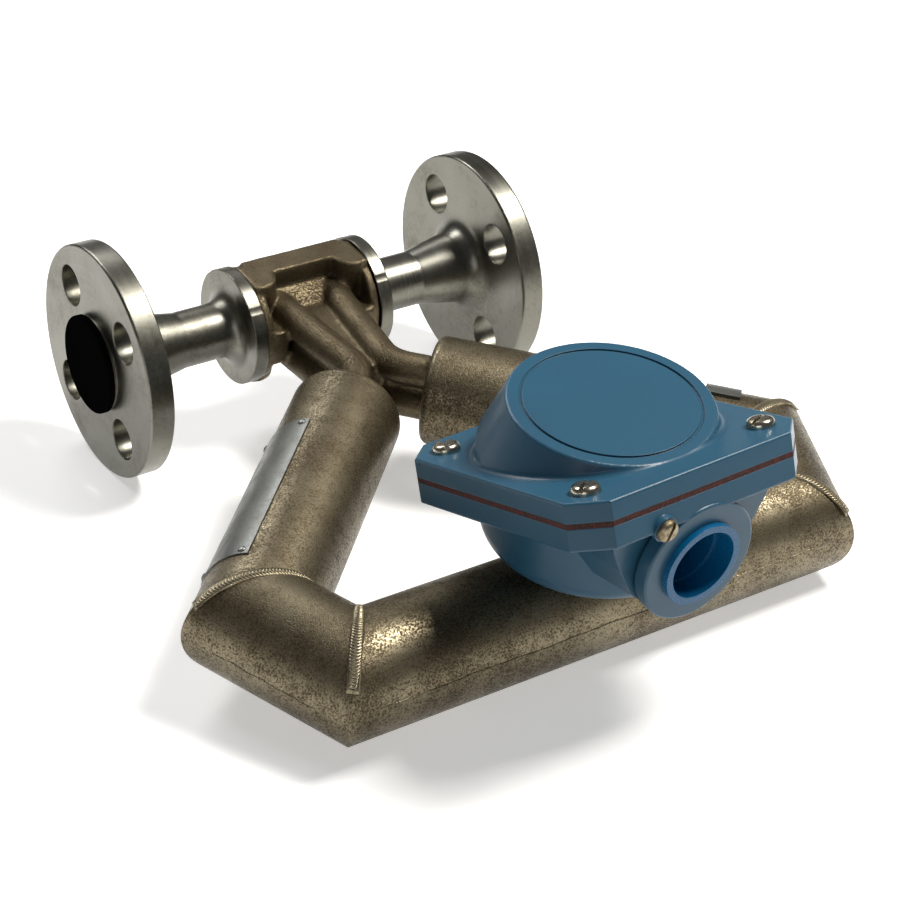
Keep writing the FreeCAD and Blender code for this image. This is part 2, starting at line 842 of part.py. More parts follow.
def pickup_set(word, frame):
    """Magnet above, coil below, each on a bracket of its own tube."""
    pickup_bracket(word + "_magnet_bracket", frame, 1)
    pickup_magnet(word + "_magnet", frame)
    pickup_bracket(word + "_coil_bracket", frame, -1)
    pickup_coil(word + "_coil", frame)


def temperature_sensor():
    """Thin probe strapped along the lower tube in the inlet leg."""
    frame = leg_frame(-1, val("brace_setback * 2"))
    offset = val("tube_diameter + probe_diameter") / 2
    place = moved(frame, 0, -offset, -val("tube_spacing") / 2, ALONG)
    probe = cylinder("temperature_sensor", "probe_diameter", "probe_length", place)
    return finish(probe, "temperature_sensor")


def wrapped_plate(name, frame, length, arc, turn, thickness):
    """Thin plate rolled round a case tube; the frame's +X runs along the tube."""
    place = moved(frame, 0, 0, 0, ALONG.multiply(Rotation(Vector(0, 0, 1), val(turn))))
    outer = cylinder(name + "_outer", "case_diameter + %s * 2" % thickness, length, place)
    bind(outer, "Angle", arc)
    inner = cylinder(name + "_core", "case_diameter + running_clearance", length, place)
    return finish(cut(name, outer, inner), name)


def box_frame():
    """Upright frame of the junction box: foot on the base tube's axis, turned a little about Z."""
    start, knee, foot = loop_points()
    return Placement(at(0, foot.y), Rotation(Vector(0, 0, 1), val("box_turn")))


def slant_frame(depth="0"):
    """Frame of the slanted cover, its origin a depth below the cover's top face."""
    tilt = Placement(Vector(0, 0, val("cover_height")), Rotation(Vector(1, 0, 0), -val("box_slant")))
    return box_frame().multiply(tilt).multiply(Placement(Vector(0, 0, -val(depth)), Rotation()))


def slant_plate(name, thickness, depth, high_edge=False, low_edge=False):
    """Square plate with broken corners that lies on the slanted split, one rim softened where asked."""
    body = doc.addObject("PartDesign::Body", name)
    sketch = new_sketch(body, name + "_outline", "XY_Plane")
    wide, deep, nip = "cover_width / 2", "cover_depth / 2", "cover_chamfer"
    low = "cover_shift - " + deep
    high = "cover_shift + " + deep
    outline(sketch, [
        ("- %s + %s" % (wide, nip), low), ("%s - %s" % (wide, nip), low),
        (wide, "%s + %s" % (low, nip)), (wide, "%s - %s" % (high, nip)),
        ("%s - %s" % (wide, nip), high), ("- %s + %s" % (wide, nip), high),
        ("- " + wide, "%s - %s" % (high, nip)), ("- " + wide, "%s + %s" % (low, nip)),
    ])
    pad = body.newObject("PartDesign::Pad", name + "_pad")
    pad.Profile = sketch
    bind(pad, "Length", thickness)
    body.Placement = slant_frame(depth)
    doc.recompute()
    if high_edge:
        round_edges(body, name + "_rim", "cover_rounding", level_edge(val(thickness)))
    if low_edge:
        round_edges(body, name + "_rim", "cover_rounding", level_edge(0))
    return body


def screw_places():
    """Centres of the four cover screws in the slanted frame."""
    across = val("cover_screw_spacing_x") / 2
    deep = val("cover_screw_spacing_y") / 2
    shift = val("cover_shift")
    return [(x * across, y * deep + shift) for x in (-1, 1) for y in (-1, 1)]


def screw_holes(name, length, depth, diameter="screw_diameter + running_clearance * 2"):
    """Four round tools on the screw centres, from a depth upwards."""
    tools = []
    for count, (x, y) in enumerate(screw_places()):
        tools.append(cylinder("%s%d" % (name, count), diameter, length, moved(slant_frame(depth), x, y, 0)))
    return tools


BIG = "case_diameter * 5"


def above_split(name, depth):
    """Large block that covers everything above a depth on the slanted split."""
    return block(name, BIG, BIG, BIG, slant_frame(depth))


def below_split(name, depth):
    """Large block that covers everything below a depth on the slanted split."""
    return block(name, BIG, BIG, BIG, moved(slant_frame(depth), 0, 0, -val(BIG)))


def upright_bar(name, diameter, foot, top):
    """Bar on the junction box's upright axis between two heights."""
    return cylinder(name, diameter, "%s - ( %s )" % (top, foot), moved(box_frame(), 0, 0, val(foot)))


def forward_bar(name, diameter, back, front, x="0", z="hub_height"):
    """Bar that points out of the conduit side, between two distances from the box axis."""
    turn = Rotation(Vector(0, 0, 1), Vector(0, -1, 0))
    place = moved(box_frame(), val(x), -val(back), val(z), turn)
    return cylinder(name, diameter, "%s - ( %s )" % (front, back), place)


def bowl(name, shrink, floor):
    """Round bowl with a rounded foot, open at the slanted split."""
    radius = "bowl_diameter / 2 - " + shrink
    top = "drum_top + bowl_overrun"
    corners = [("0", floor), (radius, floor), (radius, top), ("0", top)]
    body = turned(name, corners, box_frame())
    round_edges(body, name + "_foot", "bowl_rounding - " + shrink, ring_edge(val(radius), val(floor)))
    return body


def hub_ring():
    """Round collar at the mouth of the conduit hub, with softened rims."""
    radius = "hub_ring_diameter / 2"
    corners = [("0", "- hub_ring_thickness"), (radius, "- hub_ring_thickness"), (radius, "0"), ("0", "0")]
    turn = Rotation(Vector(0, 0, 1), Vector(0, -1, 0))
    body = turned("box_ring", corners, moved(box_frame(), 0, -val("hub_reach"), val("hub_height"), turn))
    round_edges(body, "box_ring_rim", "hub_ring_rounding", any_of(
        ring_edge(val(radius), 0), ring_edge(val(radius), -val("hub_ring_thickness"))))
    return body


def front_section(name, reach, widths):
    """Closed outline on a plane square to the conduit's axis, from half its levels and widths."""
    levels = ("front_top", "front_high", "front_middle", "front_low", "front_foot")
    right = [(val(width) / 2, val(level)) for width, level in zip(widths, levels)]
    left = [(-x, z) for x, z in reversed(right)]
    place = box_frame()
    corners = [place.multVec(Vector(x, -reach, z)) for x, z in right + left]
    return wire_object(name, Part.makePolygon(corners + corners[:1]))


def bowl_front():
    """Flat front of the bowl, splayed back into its round wall, that carries the conduit hub."""
    face = front_section("front_face", val("front_reach"), (
        "front_top_width", "front_high_width", "front_middle_width", "front_low_width", "front_foot_width"))
    root = front_section("front_root", 0, (
        "front_root_width", "front_root_width", "front_root_width", "front_high_width", "front_low_width"))
    loft = doc.addObject("Part::Loft", "box_front")
    loft.Sections = [face, root]
    loft.Solid = True
    loft.Ruled = True
    return loft


def junction_body():
    """Cast bowl with its slanted flange, flat front, conduit hub and earth boss."""
    flange_depth = "cover_thickness + gasket_thickness + body_flange_thickness"
    split = "cover_thickness + gasket_thickness"
    solids = [
        bowl("box_bowl", "0", "bowl_floor"),
        slant_plate("box_flange", "body_flange_thickness", flange_depth, low_edge=True),
        bowl_front(),
        forward_bar("box_hub", "hub_boss_diameter", "bowl_diameter / 4", "hub_reach - hub_ring_thickness / 2"),
        hub_ring(),
        forward_bar("box_earth", "ground_boss_diameter", "bowl_diameter / 3", "ground_boss_reach",
                    "- ground_screw_x", "ground_screw_height"),
    ]
    whole = fuse("box_whole", *solids)
    hollows = [
        above_split("box_above", split),
        bowl("box_cavity", "box_wall", "bowl_floor + box_wall"),
        forward_bar("box_conduit", "conduit_diameter", "bowl_diameter / 3", "hub_reach + 1"),
        upright_bar("box_floor_hole", "box_neck_bore", "bowl_floor - 1", "bowl_floor + box_wall + 1"),
        forward_bar("box_earth_hole", "screw_diameter + running_clearance * 2",
                    "ground_boss_reach - ground_hole_depth", "ground_boss_reach + 1",
                    "- ground_screw_x", "ground_screw_height"),
    ]
    hollows += screw_holes("box_screw_hole", "screw_length", "cover_thickness + body_flange_thickness")
    return finish(cut("junction_body", whole, *hollows), "junction_body")


def cover_gasket():
    """Flat gasket between the two flanges."""
    plate = slant_plate("gasket_plate", "gasket_thickness", "cover_thickness + gasket_thickness")
    hole = upright_bar("gasket_hole", "bowl_diameter - box_wall * 2", "bowl_floor", "drum_top + bowl_overrun")
    holes = screw_holes("gasket_screw_hole", "screw_length", "cover_thickness + body_flange_thickness")
    return finish(cut("cover_gasket", plate, hole, *holes), "cover_gasket")


def cover_drum():
    """Upright drum that widens towards its foot, its top rim softened."""
    top, foot = "drum_diameter / 2", "drum_foot_diameter / 2"
    corners = [
        ("0", "bowl_floor"),
        (foot, "bowl_floor"),
        (foot, "drum_foot"),
        (top, "drum_top"),
        ("0", "drum_top"),
    ]
    body = turned("cover_drum", corners, box_frame())
    round_edges(body, "cover_drum_rim", "drum_rounding", ring_edge(val(top), val("drum_top")))
    return body


def blended_drum(whole):
    """The cover with a fillet where the drum meets the top of the plate."""
    doc.recompute()
    to_slant = slant_frame().inverse()
    radius = val("drum_blend")
    chosen = []
    for count, edge in enumerate(whole.Shape.Edges, start=1):
        span = edge.LastParameter - edge.FirstParameter
        shares = [edge.valueAt(edge.FirstParameter + span * share) for share in (0, 0.3, 0.6, 1)]
        level = all(abs(to_slant.multVec(spot).z) < 1e-3 for spot in shares)
        if level and not isinstance(edge.Curve, Part.Line):
            chosen.append((count, radius, radius))
    blend = doc.addObject("Part::Fillet", "cover_blend")
    blend.Base = whole
    blend.Edges = chosen
    return blend


def junction_cover():
    """Slanted cover plate with an upright drum whose flat top carries a shallow ring."""
    plate = slant_plate("cover_plate", "cover_thickness", "cover_thickness", high_edge=True)
    trimmed = cut("cover_drum_trim", cover_drum(), below_split("cover_below", "cover_thickness"))
    whole = blended_drum(fuse("cover_whole", plate, trimmed))
    hollow = upright_bar("cover_hollow", "drum_diameter - box_wall * 2", "bowl_floor", "drum_top - box_wall")
    groove_out = upright_bar("cover_groove_out", "drum_diameter - drum_rim * 2",
                             "drum_top - drum_groove_depth", "drum_top + 1")
    groove_in = upright_bar("cover_groove_in", "drum_diameter - drum_rim * 2 - drum_groove_width * 2",
                            "drum_top - drum_groove_depth", "drum_top + 1")
    groove = cut("cover_groove", groove_out, groove_in)
    holes = screw_holes("cover_screw_hole", "cover_thickness + 2", "cover_thickness + 1")
    return finish(cut("junction_cover", whole, hollow, groove, *holes), "junction_cover")


def slotted_screw(name, head, height, length):
    """Screw with a rounded slotted head; its seat is at local Z = 0 and the shank points down."""
    corners = [
        ("0", "- " + length),
        ("screw_diameter / 2", "- " + length),
        ("screw_diameter / 2", "0"),
        (head + " / 2", "0"),
        (head + " / 2", height),
        ("0", height),
    ]
    body = turned(name + "_blank", corners, Placement())
    rounding = height + " * screw_rounding_share"
    round_edges(body, name + "_round", rounding, ring_edge(val(head + " / 2"), val(height)))
    slot_place = Placement(Vector(0, 0, val(height) / 2), Rotation())
    slot = block(name + "_slot", head + " * 1.5", "screw_slot", height, slot_place)
    return cut(name, body, slot)


def cover_screws():
    """The four cover screws as one group."""
    screw = slotted_screw("cover_screw", "screw_head_diameter", "screw_head_height", "screw_length")
    doc.recompute()
    copies = []
    for (x, y), turn in zip(screw_places(), (35, 62, 20, 48)):
        copy = screw.Shape.copy()
        copy.Placement = moved(slant_frame(), x, y, 0, Rotation(Vector(0, 0, 1), turn))
        copies.append(copy)
    group = doc.addObject("Part::Feature", "cover_screws")
    group.Shape = Part.makeCompound(copies)
    return finish(group, "cover_screws")


def ground_screw():
    """Slotted earth screw in its boss beside the conduit hub."""
    screw = slotted_screw("ground_screw", "ground_head_diameter", "ground_head_height", "ground_screw_length")
    turn = Rotation(Vector(0, 0, 1), Vector(0, -1, 0)).multiply(Rotation(Vector(0, 0, 1), 70))
    screw.Placement = moved(box_frame(), -val("ground_screw_x"), -val("ground_boss_reach"),
                            val("ground_screw_height"), turn)
    return finish(screw, "ground_screw")


def conduit_plug():
    """Plastic thread protector: a cup with a thin rim over the conduit entry."""
    outer = "conduit_diameter / 2 - running_clearance"
    inner = outer + " - conduit_plug_wall"
    corners = [
        ("0", "- conduit_plug_length"),
        (outer, "- conduit_plug_length"),
        (outer, "0"),
        ("conduit_plug_diameter / 2", "0"),
        ("conduit_plug_diameter / 2", "conduit_plug_rim"),
        (inner, "conduit_plug_rim"),
        (inner, "- conduit_plug_step_depth"),
        (inner + " - conduit_plug_step", "- conduit_plug_step_depth"),
        (inner + " - conduit_plug_step", "- conduit_plug_length + conduit_plug_wall"),
        ("0", "- conduit_plug_length + conduit_plug_wall"),
    ]
    turn = Rotation(Vector(0, 0, 1), Vector(0, -1, 0))
    place = moved(box_frame(), 0, -val("hub_reach"), val("hub_height"), turn)
    return finish(turned("conduit_plug", corners, place), "conduit_plug")


def box_neck():
    """Short stem, saddled onto the base tube, that carries the junction box."""
    stem = upright_bar("neck_stem", "box_neck_diameter", "case_diameter / 4", "bowl_floor")
    tube = cylinder("neck_saddle", "case_diameter", BIG, moved(base_frame(), -val(BIG) / 2, 0, 0, ALONG))
    bore = upright_bar("neck_bore", "box_neck_bore", "0", "bowl_floor + 1")
    return finish(cut("box_neck", stem, tube, bore), "box_neck")


def feedthrough():
    """Sealed header in the neck with its row of pins."""
    top = "bowl_floor"
    disc = upright_bar("header_disc", "box_neck_bore", top + " - header_thickness", top)
    pins = []
    circle = val("header_pin_circle") / 2
    for count in range(int(val("header_pin_count"))):
        angle = 2 * math.pi * count / val("header_pin_count")
        place = moved(box_frame(), circle * math.cos(angle), circle * math.sin(angle),
                      val(top) - val("header_thickness") * 2)
        pins.append(cylinder("header_pin%d" % count, "header_pin_diameter", "header_thickness * 4", place))
    return finish(fuse("feedthrough_header", disc, *pins), "feedthrough_header")


def terminal_block():
    """Terminal strip screwed to the bowl floor, with a well for each clamp screw."""
    floor = "bowl_floor + box_wall"
    set_back = val("box_neck_bore / 2 + terminal_width / 2 + terminal_gap")
    place = moved(box_frame(), 0, set_back, val(floor))
    bar = block("terminal_bar", "terminal_length", "terminal_width", "terminal_height", place)
    wells = []
    screws = []
    pitch = val("terminal_length") / val("terminal_count")
    for count in range(int(val("terminal_count"))):
        x = (count - (val("terminal_count") - 1) / 2) * pitch
        for row in (-1, 1):
            mark = "%d%d" % (count, row + 1)
            y = row * val("terminal_width / 4")
            spot = moved(place, x, y, val("terminal_height - terminal_well_depth"))
            wells.append(cylinder("terminal_well" + mark, "terminal_well_diameter",
                                  "terminal_well_depth * 2", spot))
            screws.append(cylinder("terminal_screw" + mark, "terminal_screw_diameter",
                                   "terminal_screw_height", spot))
    finish(cut("terminal_block", bar, *wells), "terminal_block")
    doc.recompute()
    group = doc.addObject("Part::Feature", "terminal_screws")
    group.Shape = Part.makeCompound([screw.Shape.copy() for screw in screws])
    return finish(group, "terminal_screws")


def case_base():
    """Base tube of the case with the round hole that leads to the junction box."""
    tube = case_tube("base_tube_wall", 2, 1)
    PIECES.remove(tube)
    hole = upright_bar("base_tube_hole", "box_neck_bore * 0.7", "0", "bowl_floor")
    return finish(cut("base_tube", tube, hole), "base_tube")


def nameplate():
    """Bare thin plate rolled onto the inlet leg, with its four rivets."""
    frame = leg_frame(-1, val("plate_start"))
    wrapped_plate("nameplate", frame, "plate_length", "plate_arc", "plate_turn", "plate_thickness")
    inset = val("rivet_inset")
    margin = val("rivet_margin")
    reach = val("case_diameter / 2 + plate_thickness")
    first = val("plate_turn") - 90 + margin
    last = val("plate_turn + plate_arc") - 90 - margin
    rivets = []
    for count, (x, angle) in enumerate((x, angle) for x in (inset, val("plate_length") - inset)
                                       for angle in (first, last)):
        outward = Vector(0, math.cos(math.radians(angle)), math.sin(math.radians(angle)))
        spot = moved(frame, x, 0, 0, turn_to(outward)).multiply(Placement(Vector(0, 0, reach), Rotation()))
        rivets.append(cylinder("rivet%d" % count, "rivet_diameter", "rivet_height", spot))
    return finish(fuse("nameplate_rivets", *rivets), "nameplate_rivets")


def sensor():
    """Everything that carries the fluid and the case round it."""
    for word, side in (("inlet", -1), ("outlet", 1)):
        flange_spool(word + "_flange", side)
        flange_protector(word + "_protector", side)
    manifold()
    for word, side in (("inlet", -1), ("outlet", 1)):
        leg_cap(word + "_leg_cap", side)
        case_tube(word + "_leg_tube", 0, side)
        case_tube(word + "_corner_tube", 1, side)
        brace_bar(word + "_brace_bar", side)
    case_base()
    weld_beads()
    for word, level in (("upper", 1), ("lower", -1)):
        flow_tube(word + "_flow_tube", level)
    pickup_set("inlet_pickup", leg_frame(-1, val("pickup_station")))
    pickup_set("outlet_pickup", leg_frame(1, val("pickup_station")))
    pickup_set("drive", base_frame())
    temperature_sensor()
    nameplate()
    tag_frame = leg_frame(1, val("tag_station"))
    wrapped_plate("leg_tag", tag_frame, "tag_length", "tag_arc", "tag_turn", "tag_thickness")


def junction_box():
    """Neck, bowl, gasket, cover and what they hold."""
    box_neck()
    feedthrough()
    junction_body()
    cover_gasket()
    junction_cover()
    cover_screws()
    ground_screw()
    conduit_plug()
    terminal_block()


def check():
    """Stop on any failed object, empty shape or invalid solid."""
    for obj in doc.Objects:
        bad = [state for state in obj.State if state in ("Invalid", "Error")]
        if bad:
            raise RuntimeError("%s is %s" % (obj.Name, bad))
    for piece in PIECES:
        shape = piece.Shape
        if shape.isNull() or not shape.isValid() or not shape.Solids:
            raise RuntimeError("%s has no valid solid" % piece.Label)


def export():
    """Write each piece to its own file."""
    for piece in PIECES:
        piece.Shape.exportStep("parts/%s.step" % piece.Label)
        print("%-24s solids %d  volume %.1f" % (piece.Label, len(piece.Shape.Solids), piece.Shape.Volume))


sensor()
junction_box()
doc.recompute()
check()
export()
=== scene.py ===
"""Looks of a twin-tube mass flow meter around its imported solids.

The frame is the row's: metres, the pipe axis along X, flow towards +X, the tube loop in the XY plane
towards -Y, and the junction box standing on the base tube towards +Z.
"""

import json
import logging
import math
from dataclasses import dataclass, field
from enum import Enum
from typing import Dict, Iterable, List, Sequence, Tuple

import bmesh
import bpy
import numpy as np
from mathutils import Matrix, Vector


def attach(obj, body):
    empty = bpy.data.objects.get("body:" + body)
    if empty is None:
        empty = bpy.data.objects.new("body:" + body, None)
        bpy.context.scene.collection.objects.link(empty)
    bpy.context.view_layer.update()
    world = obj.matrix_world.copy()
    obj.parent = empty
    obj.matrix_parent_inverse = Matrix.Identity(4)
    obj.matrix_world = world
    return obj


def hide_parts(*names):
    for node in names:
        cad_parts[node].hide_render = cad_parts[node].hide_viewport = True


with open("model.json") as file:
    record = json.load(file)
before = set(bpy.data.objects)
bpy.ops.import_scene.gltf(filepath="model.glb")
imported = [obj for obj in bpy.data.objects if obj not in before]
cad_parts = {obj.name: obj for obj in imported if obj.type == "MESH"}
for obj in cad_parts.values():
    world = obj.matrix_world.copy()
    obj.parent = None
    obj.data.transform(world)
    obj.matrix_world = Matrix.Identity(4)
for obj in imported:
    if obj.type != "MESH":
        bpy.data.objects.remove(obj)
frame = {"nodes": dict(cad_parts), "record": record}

LOG = logging.getLogger("flow_meter")
MM = 0.001
ROOT_BODY = "meter"

Colour = Tuple[float, float, float]


class Slot(Enum):
    """Material slots of the record."""

    FLANGE = "flange_steel"
    CASTING = "casting_steel"
    CASE = "case_steel"
    WELD = "weld_metal"
    INNER = "inner_steel"
    PLATE = "plate_metal"
    PAINT = "box_paint"
    GASKET = "gasket_rubber"
    SCREW = "screw_steel"
    EARTH = "earth_screw_steel"
    PLUG = "plug_plastic"
    PROTECTOR = "protector_plastic"
    TERMINAL = "terminal_plastic"
    BRASS = "terminal_brass"
    MAGNET = "magnet_metal"
    COIL = "coil_copper"


class Side(Enum):
    """The two halves of the loop, as the sign of their X from the middle."""

    INLET = -1
    OUTLET = 1


def solid_colour(colour: Colour) -> Tuple[float, float, float, float]:
    """Colour with full alpha."""
    return (*colour, 1.0)


class NodeBuilder:
    """Short ways to add and link the nodes of one tree."""

    tree: bpy.types.NodeTree

    def add(self, kind: str, **settings: object) -> bpy.types.Node:
        """Add a node.

        Args:
            kind: Type name of the node.
            **settings: Attributes to set on it.

        Returns:
            The new node.
        """
        node = self.tree.nodes.new(kind)
        for name, value in settings.items():
            setattr(node, name, value)
        return node

    def join(self, start: bpy.types.NodeSocket, end: bpy.types.NodeSocket) -> None:
        """Link one socket to another."""
        self.tree.links.new(start, end)


class Shader(NodeBuilder):
    """One node material under construction."""

    def __init__(self, name: str) -> None:
        """Start an empty material.

        Args:
            name: Name of the material.
        """
        self.material = bpy.data.materials.new(name)
        self.material.use_nodes = True
        self.tree = self.material.node_tree
        self.tree.nodes.clear()
        self.surface = self.add("ShaderNodeBsdfPrincipled")
        self.output = self.add("ShaderNodeOutputMaterial")
        self.join(self.surface.outputs[0], self.output.inputs["Surface"])
        self.place = self.add("ShaderNodeTexCoord").outputs["Object"]

    def feed(self, socket: bpy.types.NodeSocket, value: object) -> None:
        """Give a socket a link or a plain value.

        Args:
            socket: Input to fill.
            value: Output to link, or the value itself.
        """
        if isinstance(value, bpy.types.NodeSocket):
            self.join(value, socket)
        else:
            socket.default_value = value

    def plain(self, **values: object) -> None:
        """Set numbers or colours on the surface shader's own sockets.

        Args:
            **values: Socket names with underscores for spaces, and their values.
        """
        for name, value in values.items():
            self.feed(self.surface.inputs[name.replace("_", " ").title().replace("Ior", "IOR")], value)

    def maths(self, operation: str, first: object, second: object) -> bpy.types.NodeSocket:
        """Arithmetic on two numbers.

        Args:
            operation: Name of the operation.
            first: First number or its output.
            second: Second number or its output.

        Returns:
            The result's output.
        """
        node = self.add("ShaderNodeMath", operation=operation)
        self.feed(node.inputs[0], first)
        self.feed(node.inputs[1], second)
        return node.outputs[0]

    def noise(self, scale: float, detail: float = 4.0, rough: float = 0.55, vector: object = None,
              twist: float = 0.0) -> bpy.types.NodeSocket:
        """Noise field from 0 to 1.

        Args:
            scale: Features per metre.
            detail: Octaves.
            rough: Weight of the finer octaves.
            vector: Place to read, the object's own where none is given.
            twist: Distortion of the field.

        Returns:
            The factor socket.
        """
        node = self.add("ShaderNodeTexNoise")
        self.join(vector or self.place, node.inputs["Vector"])
        node.inputs["Scale"].default_value = scale
        node.inputs["Detail"].default_value = detail
        node.inputs["Roughness"].default_value = rough
        node.inputs["Distortion"].default_value = twist
        return node.outputs["Fac"]

    def span(self, value: object, low: float, high: float, bottom: float = 0.0,
             top: float = 1.0) -> bpy.types.NodeSocket:
        """Value mapped from one range to another, and clamped.

        Args:
            value: Output to read.
            low: Value that gives the bottom.
            high: Value that gives the top.
            bottom: Result at the low end.
            top: Result at the high end.

        Returns:
            The result's output.
        """
        node = self.add("ShaderNodeMapRange", clamp=True)
        self.feed(node.inputs["Value"], value)
        node.inputs["From Min"].default_value = low
        node.inputs["From Max"].default_value = high
        node.inputs["To Min"].default_value = bottom
        node.inputs["To Max"].default_value = top
        return node.outputs["Result"]

    def blend(self, factor: object, first: object, second: object) -> bpy.types.NodeSocket:
        """Mix of two colours.

        Args:
            factor: Share of the second colour.
            first: First colour or its output.
            second: Second colour or its output.

        Returns:
            The mixed colour's output.
        """
        node = self.add("ShaderNodeMix", data_type="RGBA")
        colours = [socket for socket in node.inputs if socket.type == "RGBA"]
        self.feed(node.inputs["Factor"], factor)
        for socket, colour in zip(colours, (first, second)):
            self.feed(socket, solid_colour(colour) if isinstance(colour, tuple) else colour)
        return [socket for socket in node.outputs if socket.type == "RGBA"][0]

    def bump(self, height: object, depth: float, strength: float,
             normal: object = None) -> bpy.types.NodeSocket:
        """Bumped normal.

        Args:
            height: Height field from 0 to 1.
            depth: Real height of the bump in metres.
            strength: Weight of the bump.
            normal: Normal to start from.

        Returns:
            The normal socket.
        """
        node = self.add("ShaderNodeBump")
        node.inputs["Strength"].default_value = strength
        node.inputs["Distance"].default_value = depth
        self.feed(node.inputs["Height"], height)
        if normal is not None:
            self.join(normal, node.inputs["Normal"])
        return node.outputs["Normal"]

    def soft_edge(self, radius: float) -> bpy.types.NodeSocket:
        """Normal that rounds sharp edges by a small radius.

        Args:
            radius: Radius in metres.

        Returns:
            The normal's output.
        """
        node = self.add("ShaderNodeBevel", samples=6)
        node.inputs["Radius"].default_value = radius
        return node.outputs["Normal"]


@dataclass(frozen=True)
class BlastedSteel:
    """Blasted stainless steel with a warm heat tint and fine dark specks that crowd in patches."""

    name: str
    light: Colour
    middle: Colour
    dark: Colour
    cloud_scale: float = 34.0
    patch_scale: float = 170.0
    speck_scale: float = 1500.0
    grain_scale: float = 3400.0
    speck_share: float = 0.465
    speck_strength: float = 0.88
    grain_strength: float = 0.45
    rough: float = 0.34
    metallic: float = 0.92
    grain_depth: float = 0.05 * MM
    edge: float = 0.4 * MM

    def build(self) -> bpy.types.Material:
        """Make the material.

        Returns:
            The finished material.
        """
        shader = Shader(self.name)
        cloud = shader.noise(self.cloud_scale, 4.0, 0.55, twist=0.4)
        patch = shader.noise(self.patch_scale, 5.0, 0.65, twist=0.6)
        speck = shader.noise(self.speck_scale, 4.0, 0.68, twist=0.3)
        grain = shader.noise(self.grain_scale, 2.0, 0.6)
        tone = shader.span(shader.maths("ADD", cloud, shader.maths("MULTIPLY", patch, 0.8)), 0.70, 1.12)
        colour = shader.blend(tone, self.light, self.middle)
        crowd = shader.maths("MULTIPLY", shader.maths("ADD", cloud, patch), 0.5)
        level = shader.span(crowd, 0.40, 0.60, self.speck_share + 0.06, self.speck_share - 0.03)
        mask = shader.span(shader.maths("SUBTRACT", speck, level), -0.02, 0.10)
        colour = shader.blend(shader.maths("MULTIPLY", mask, self.speck_strength), colour, self.dark)
        colour = shader.blend(shader.span(grain, 0.35, 0.70, 0.0, self.grain_strength), colour, self.dark)
        rough = shader.span(shader.maths("ADD", grain, mask), 0.3, 1.6, self.rough - 0.05, self.rough + 0.22)
        normal = shader.bump(grain, self.grain_depth, 0.8, shader.soft_edge(self.edge))
        normal = shader.bump(shader.maths("SUBTRACT", patch, mask), self.grain_depth, 0.6, normal)
        shader.plain(base_color=colour, metallic=self.metallic, roughness=rough, normal=normal)
        return shader.material


@dataclass(frozen=True)
class TurnedSteel:
    """Stainless steel turned about the pipe axis, with fine tool rings."""

    name: str
    colour: Colour
    stain: Colour
    rough: float = 0.30
    cloud_scale: float = 38.0
    scuff_scale: float = 420.0
    ring_scale: float = 2300.0
    ring_depth: float = 0.003 * MM
    edge: float = 0.8 * MM

    def build(self) -> bpy.types.Material:
        """Make the material.

        Returns:
            The finished material.
        """
        shader = Shader(self.name)
        parts = shader.add("ShaderNodeSeparateXYZ")
        shader.join(shader.place, parts.inputs[0])
        across = shader.add("ShaderNodeCombineXYZ")
        shader.join(parts.outputs["Y"], across.inputs["X"])
        shader.join(parts.outputs["Z"], across.inputs["Y"])
        radius = shader.add("ShaderNodeVectorMath", operation="LENGTH")
        shader.join(across.outputs[0], radius.inputs[0])
        ring_place = shader.add("ShaderNodeCombineXYZ")
        shader.join(parts.outputs["X"], ring_place.inputs["X"])
        shader.join(radius.outputs["Value"], ring_place.inputs["Y"])
        rings = shader.noise(self.ring_scale, 3.0, 0.7, ring_place.outputs[0])
        cloud = shader.noise(self.cloud_scale, 4.0, 0.6, twist=0.5)
        scuff = shader.noise(self.scuff_scale, 4.0, 0.65, twist=1.2)
        mask = shader.span(shader.maths("MULTIPLY", cloud, scuff), 0.24, 0.44)
        colour = shader.blend(mask, self.colour, self.stain)
        rough = shader.span(shader.maths("ADD", rings, cloud), 0.7, 1.3, self.rough - 0.05, self.rough + 0.12)
        normal = shader.bump(rings, self.ring_depth, 0.8, shader.soft_edge(self.edge))
        shader.plain(base_color=colour, metallic=1.0, roughness=rough, normal=normal)
        return shader.material


@dataclass(frozen=True)
class SmallMetal:
    """Small bright metal part with a fine grain and dulled patches."""

    name: str
    colour: Colour
    shade: Colour
    rough: float = 0.28
    scale: float = 900.0
    depth: float = 0.01 * MM
    edge: float = 0.2 * MM
    metallic: float = 1.0

    def build(self) -> bpy.types.Material:
        """Make the material.

        Returns:
            The finished material.
        """
        shader = Shader(self.name)
        patch = shader.noise(self.scale * 0.25, 4.0, 0.6, twist=0.8)
        grain = shader.noise(self.scale * 2.5, 3.0, 0.6)
        mask = shader.span(shader.maths("ADD", patch, shader.maths("MULTIPLY", grain, 0.5)), 0.62, 0.95)
        colour = shader.blend(mask, self.colour, self.shade)
        rough = shader.span(mask, 0.0, 1.0, self.rough, self.rough + 0.2)
        normal = shader.bump(grain, self.depth, 0.8, shader.soft_edge(self.edge))
        shader.plain(base_color=colour, metallic=self.metallic, roughness=rough, normal=normal)
        return shader.material


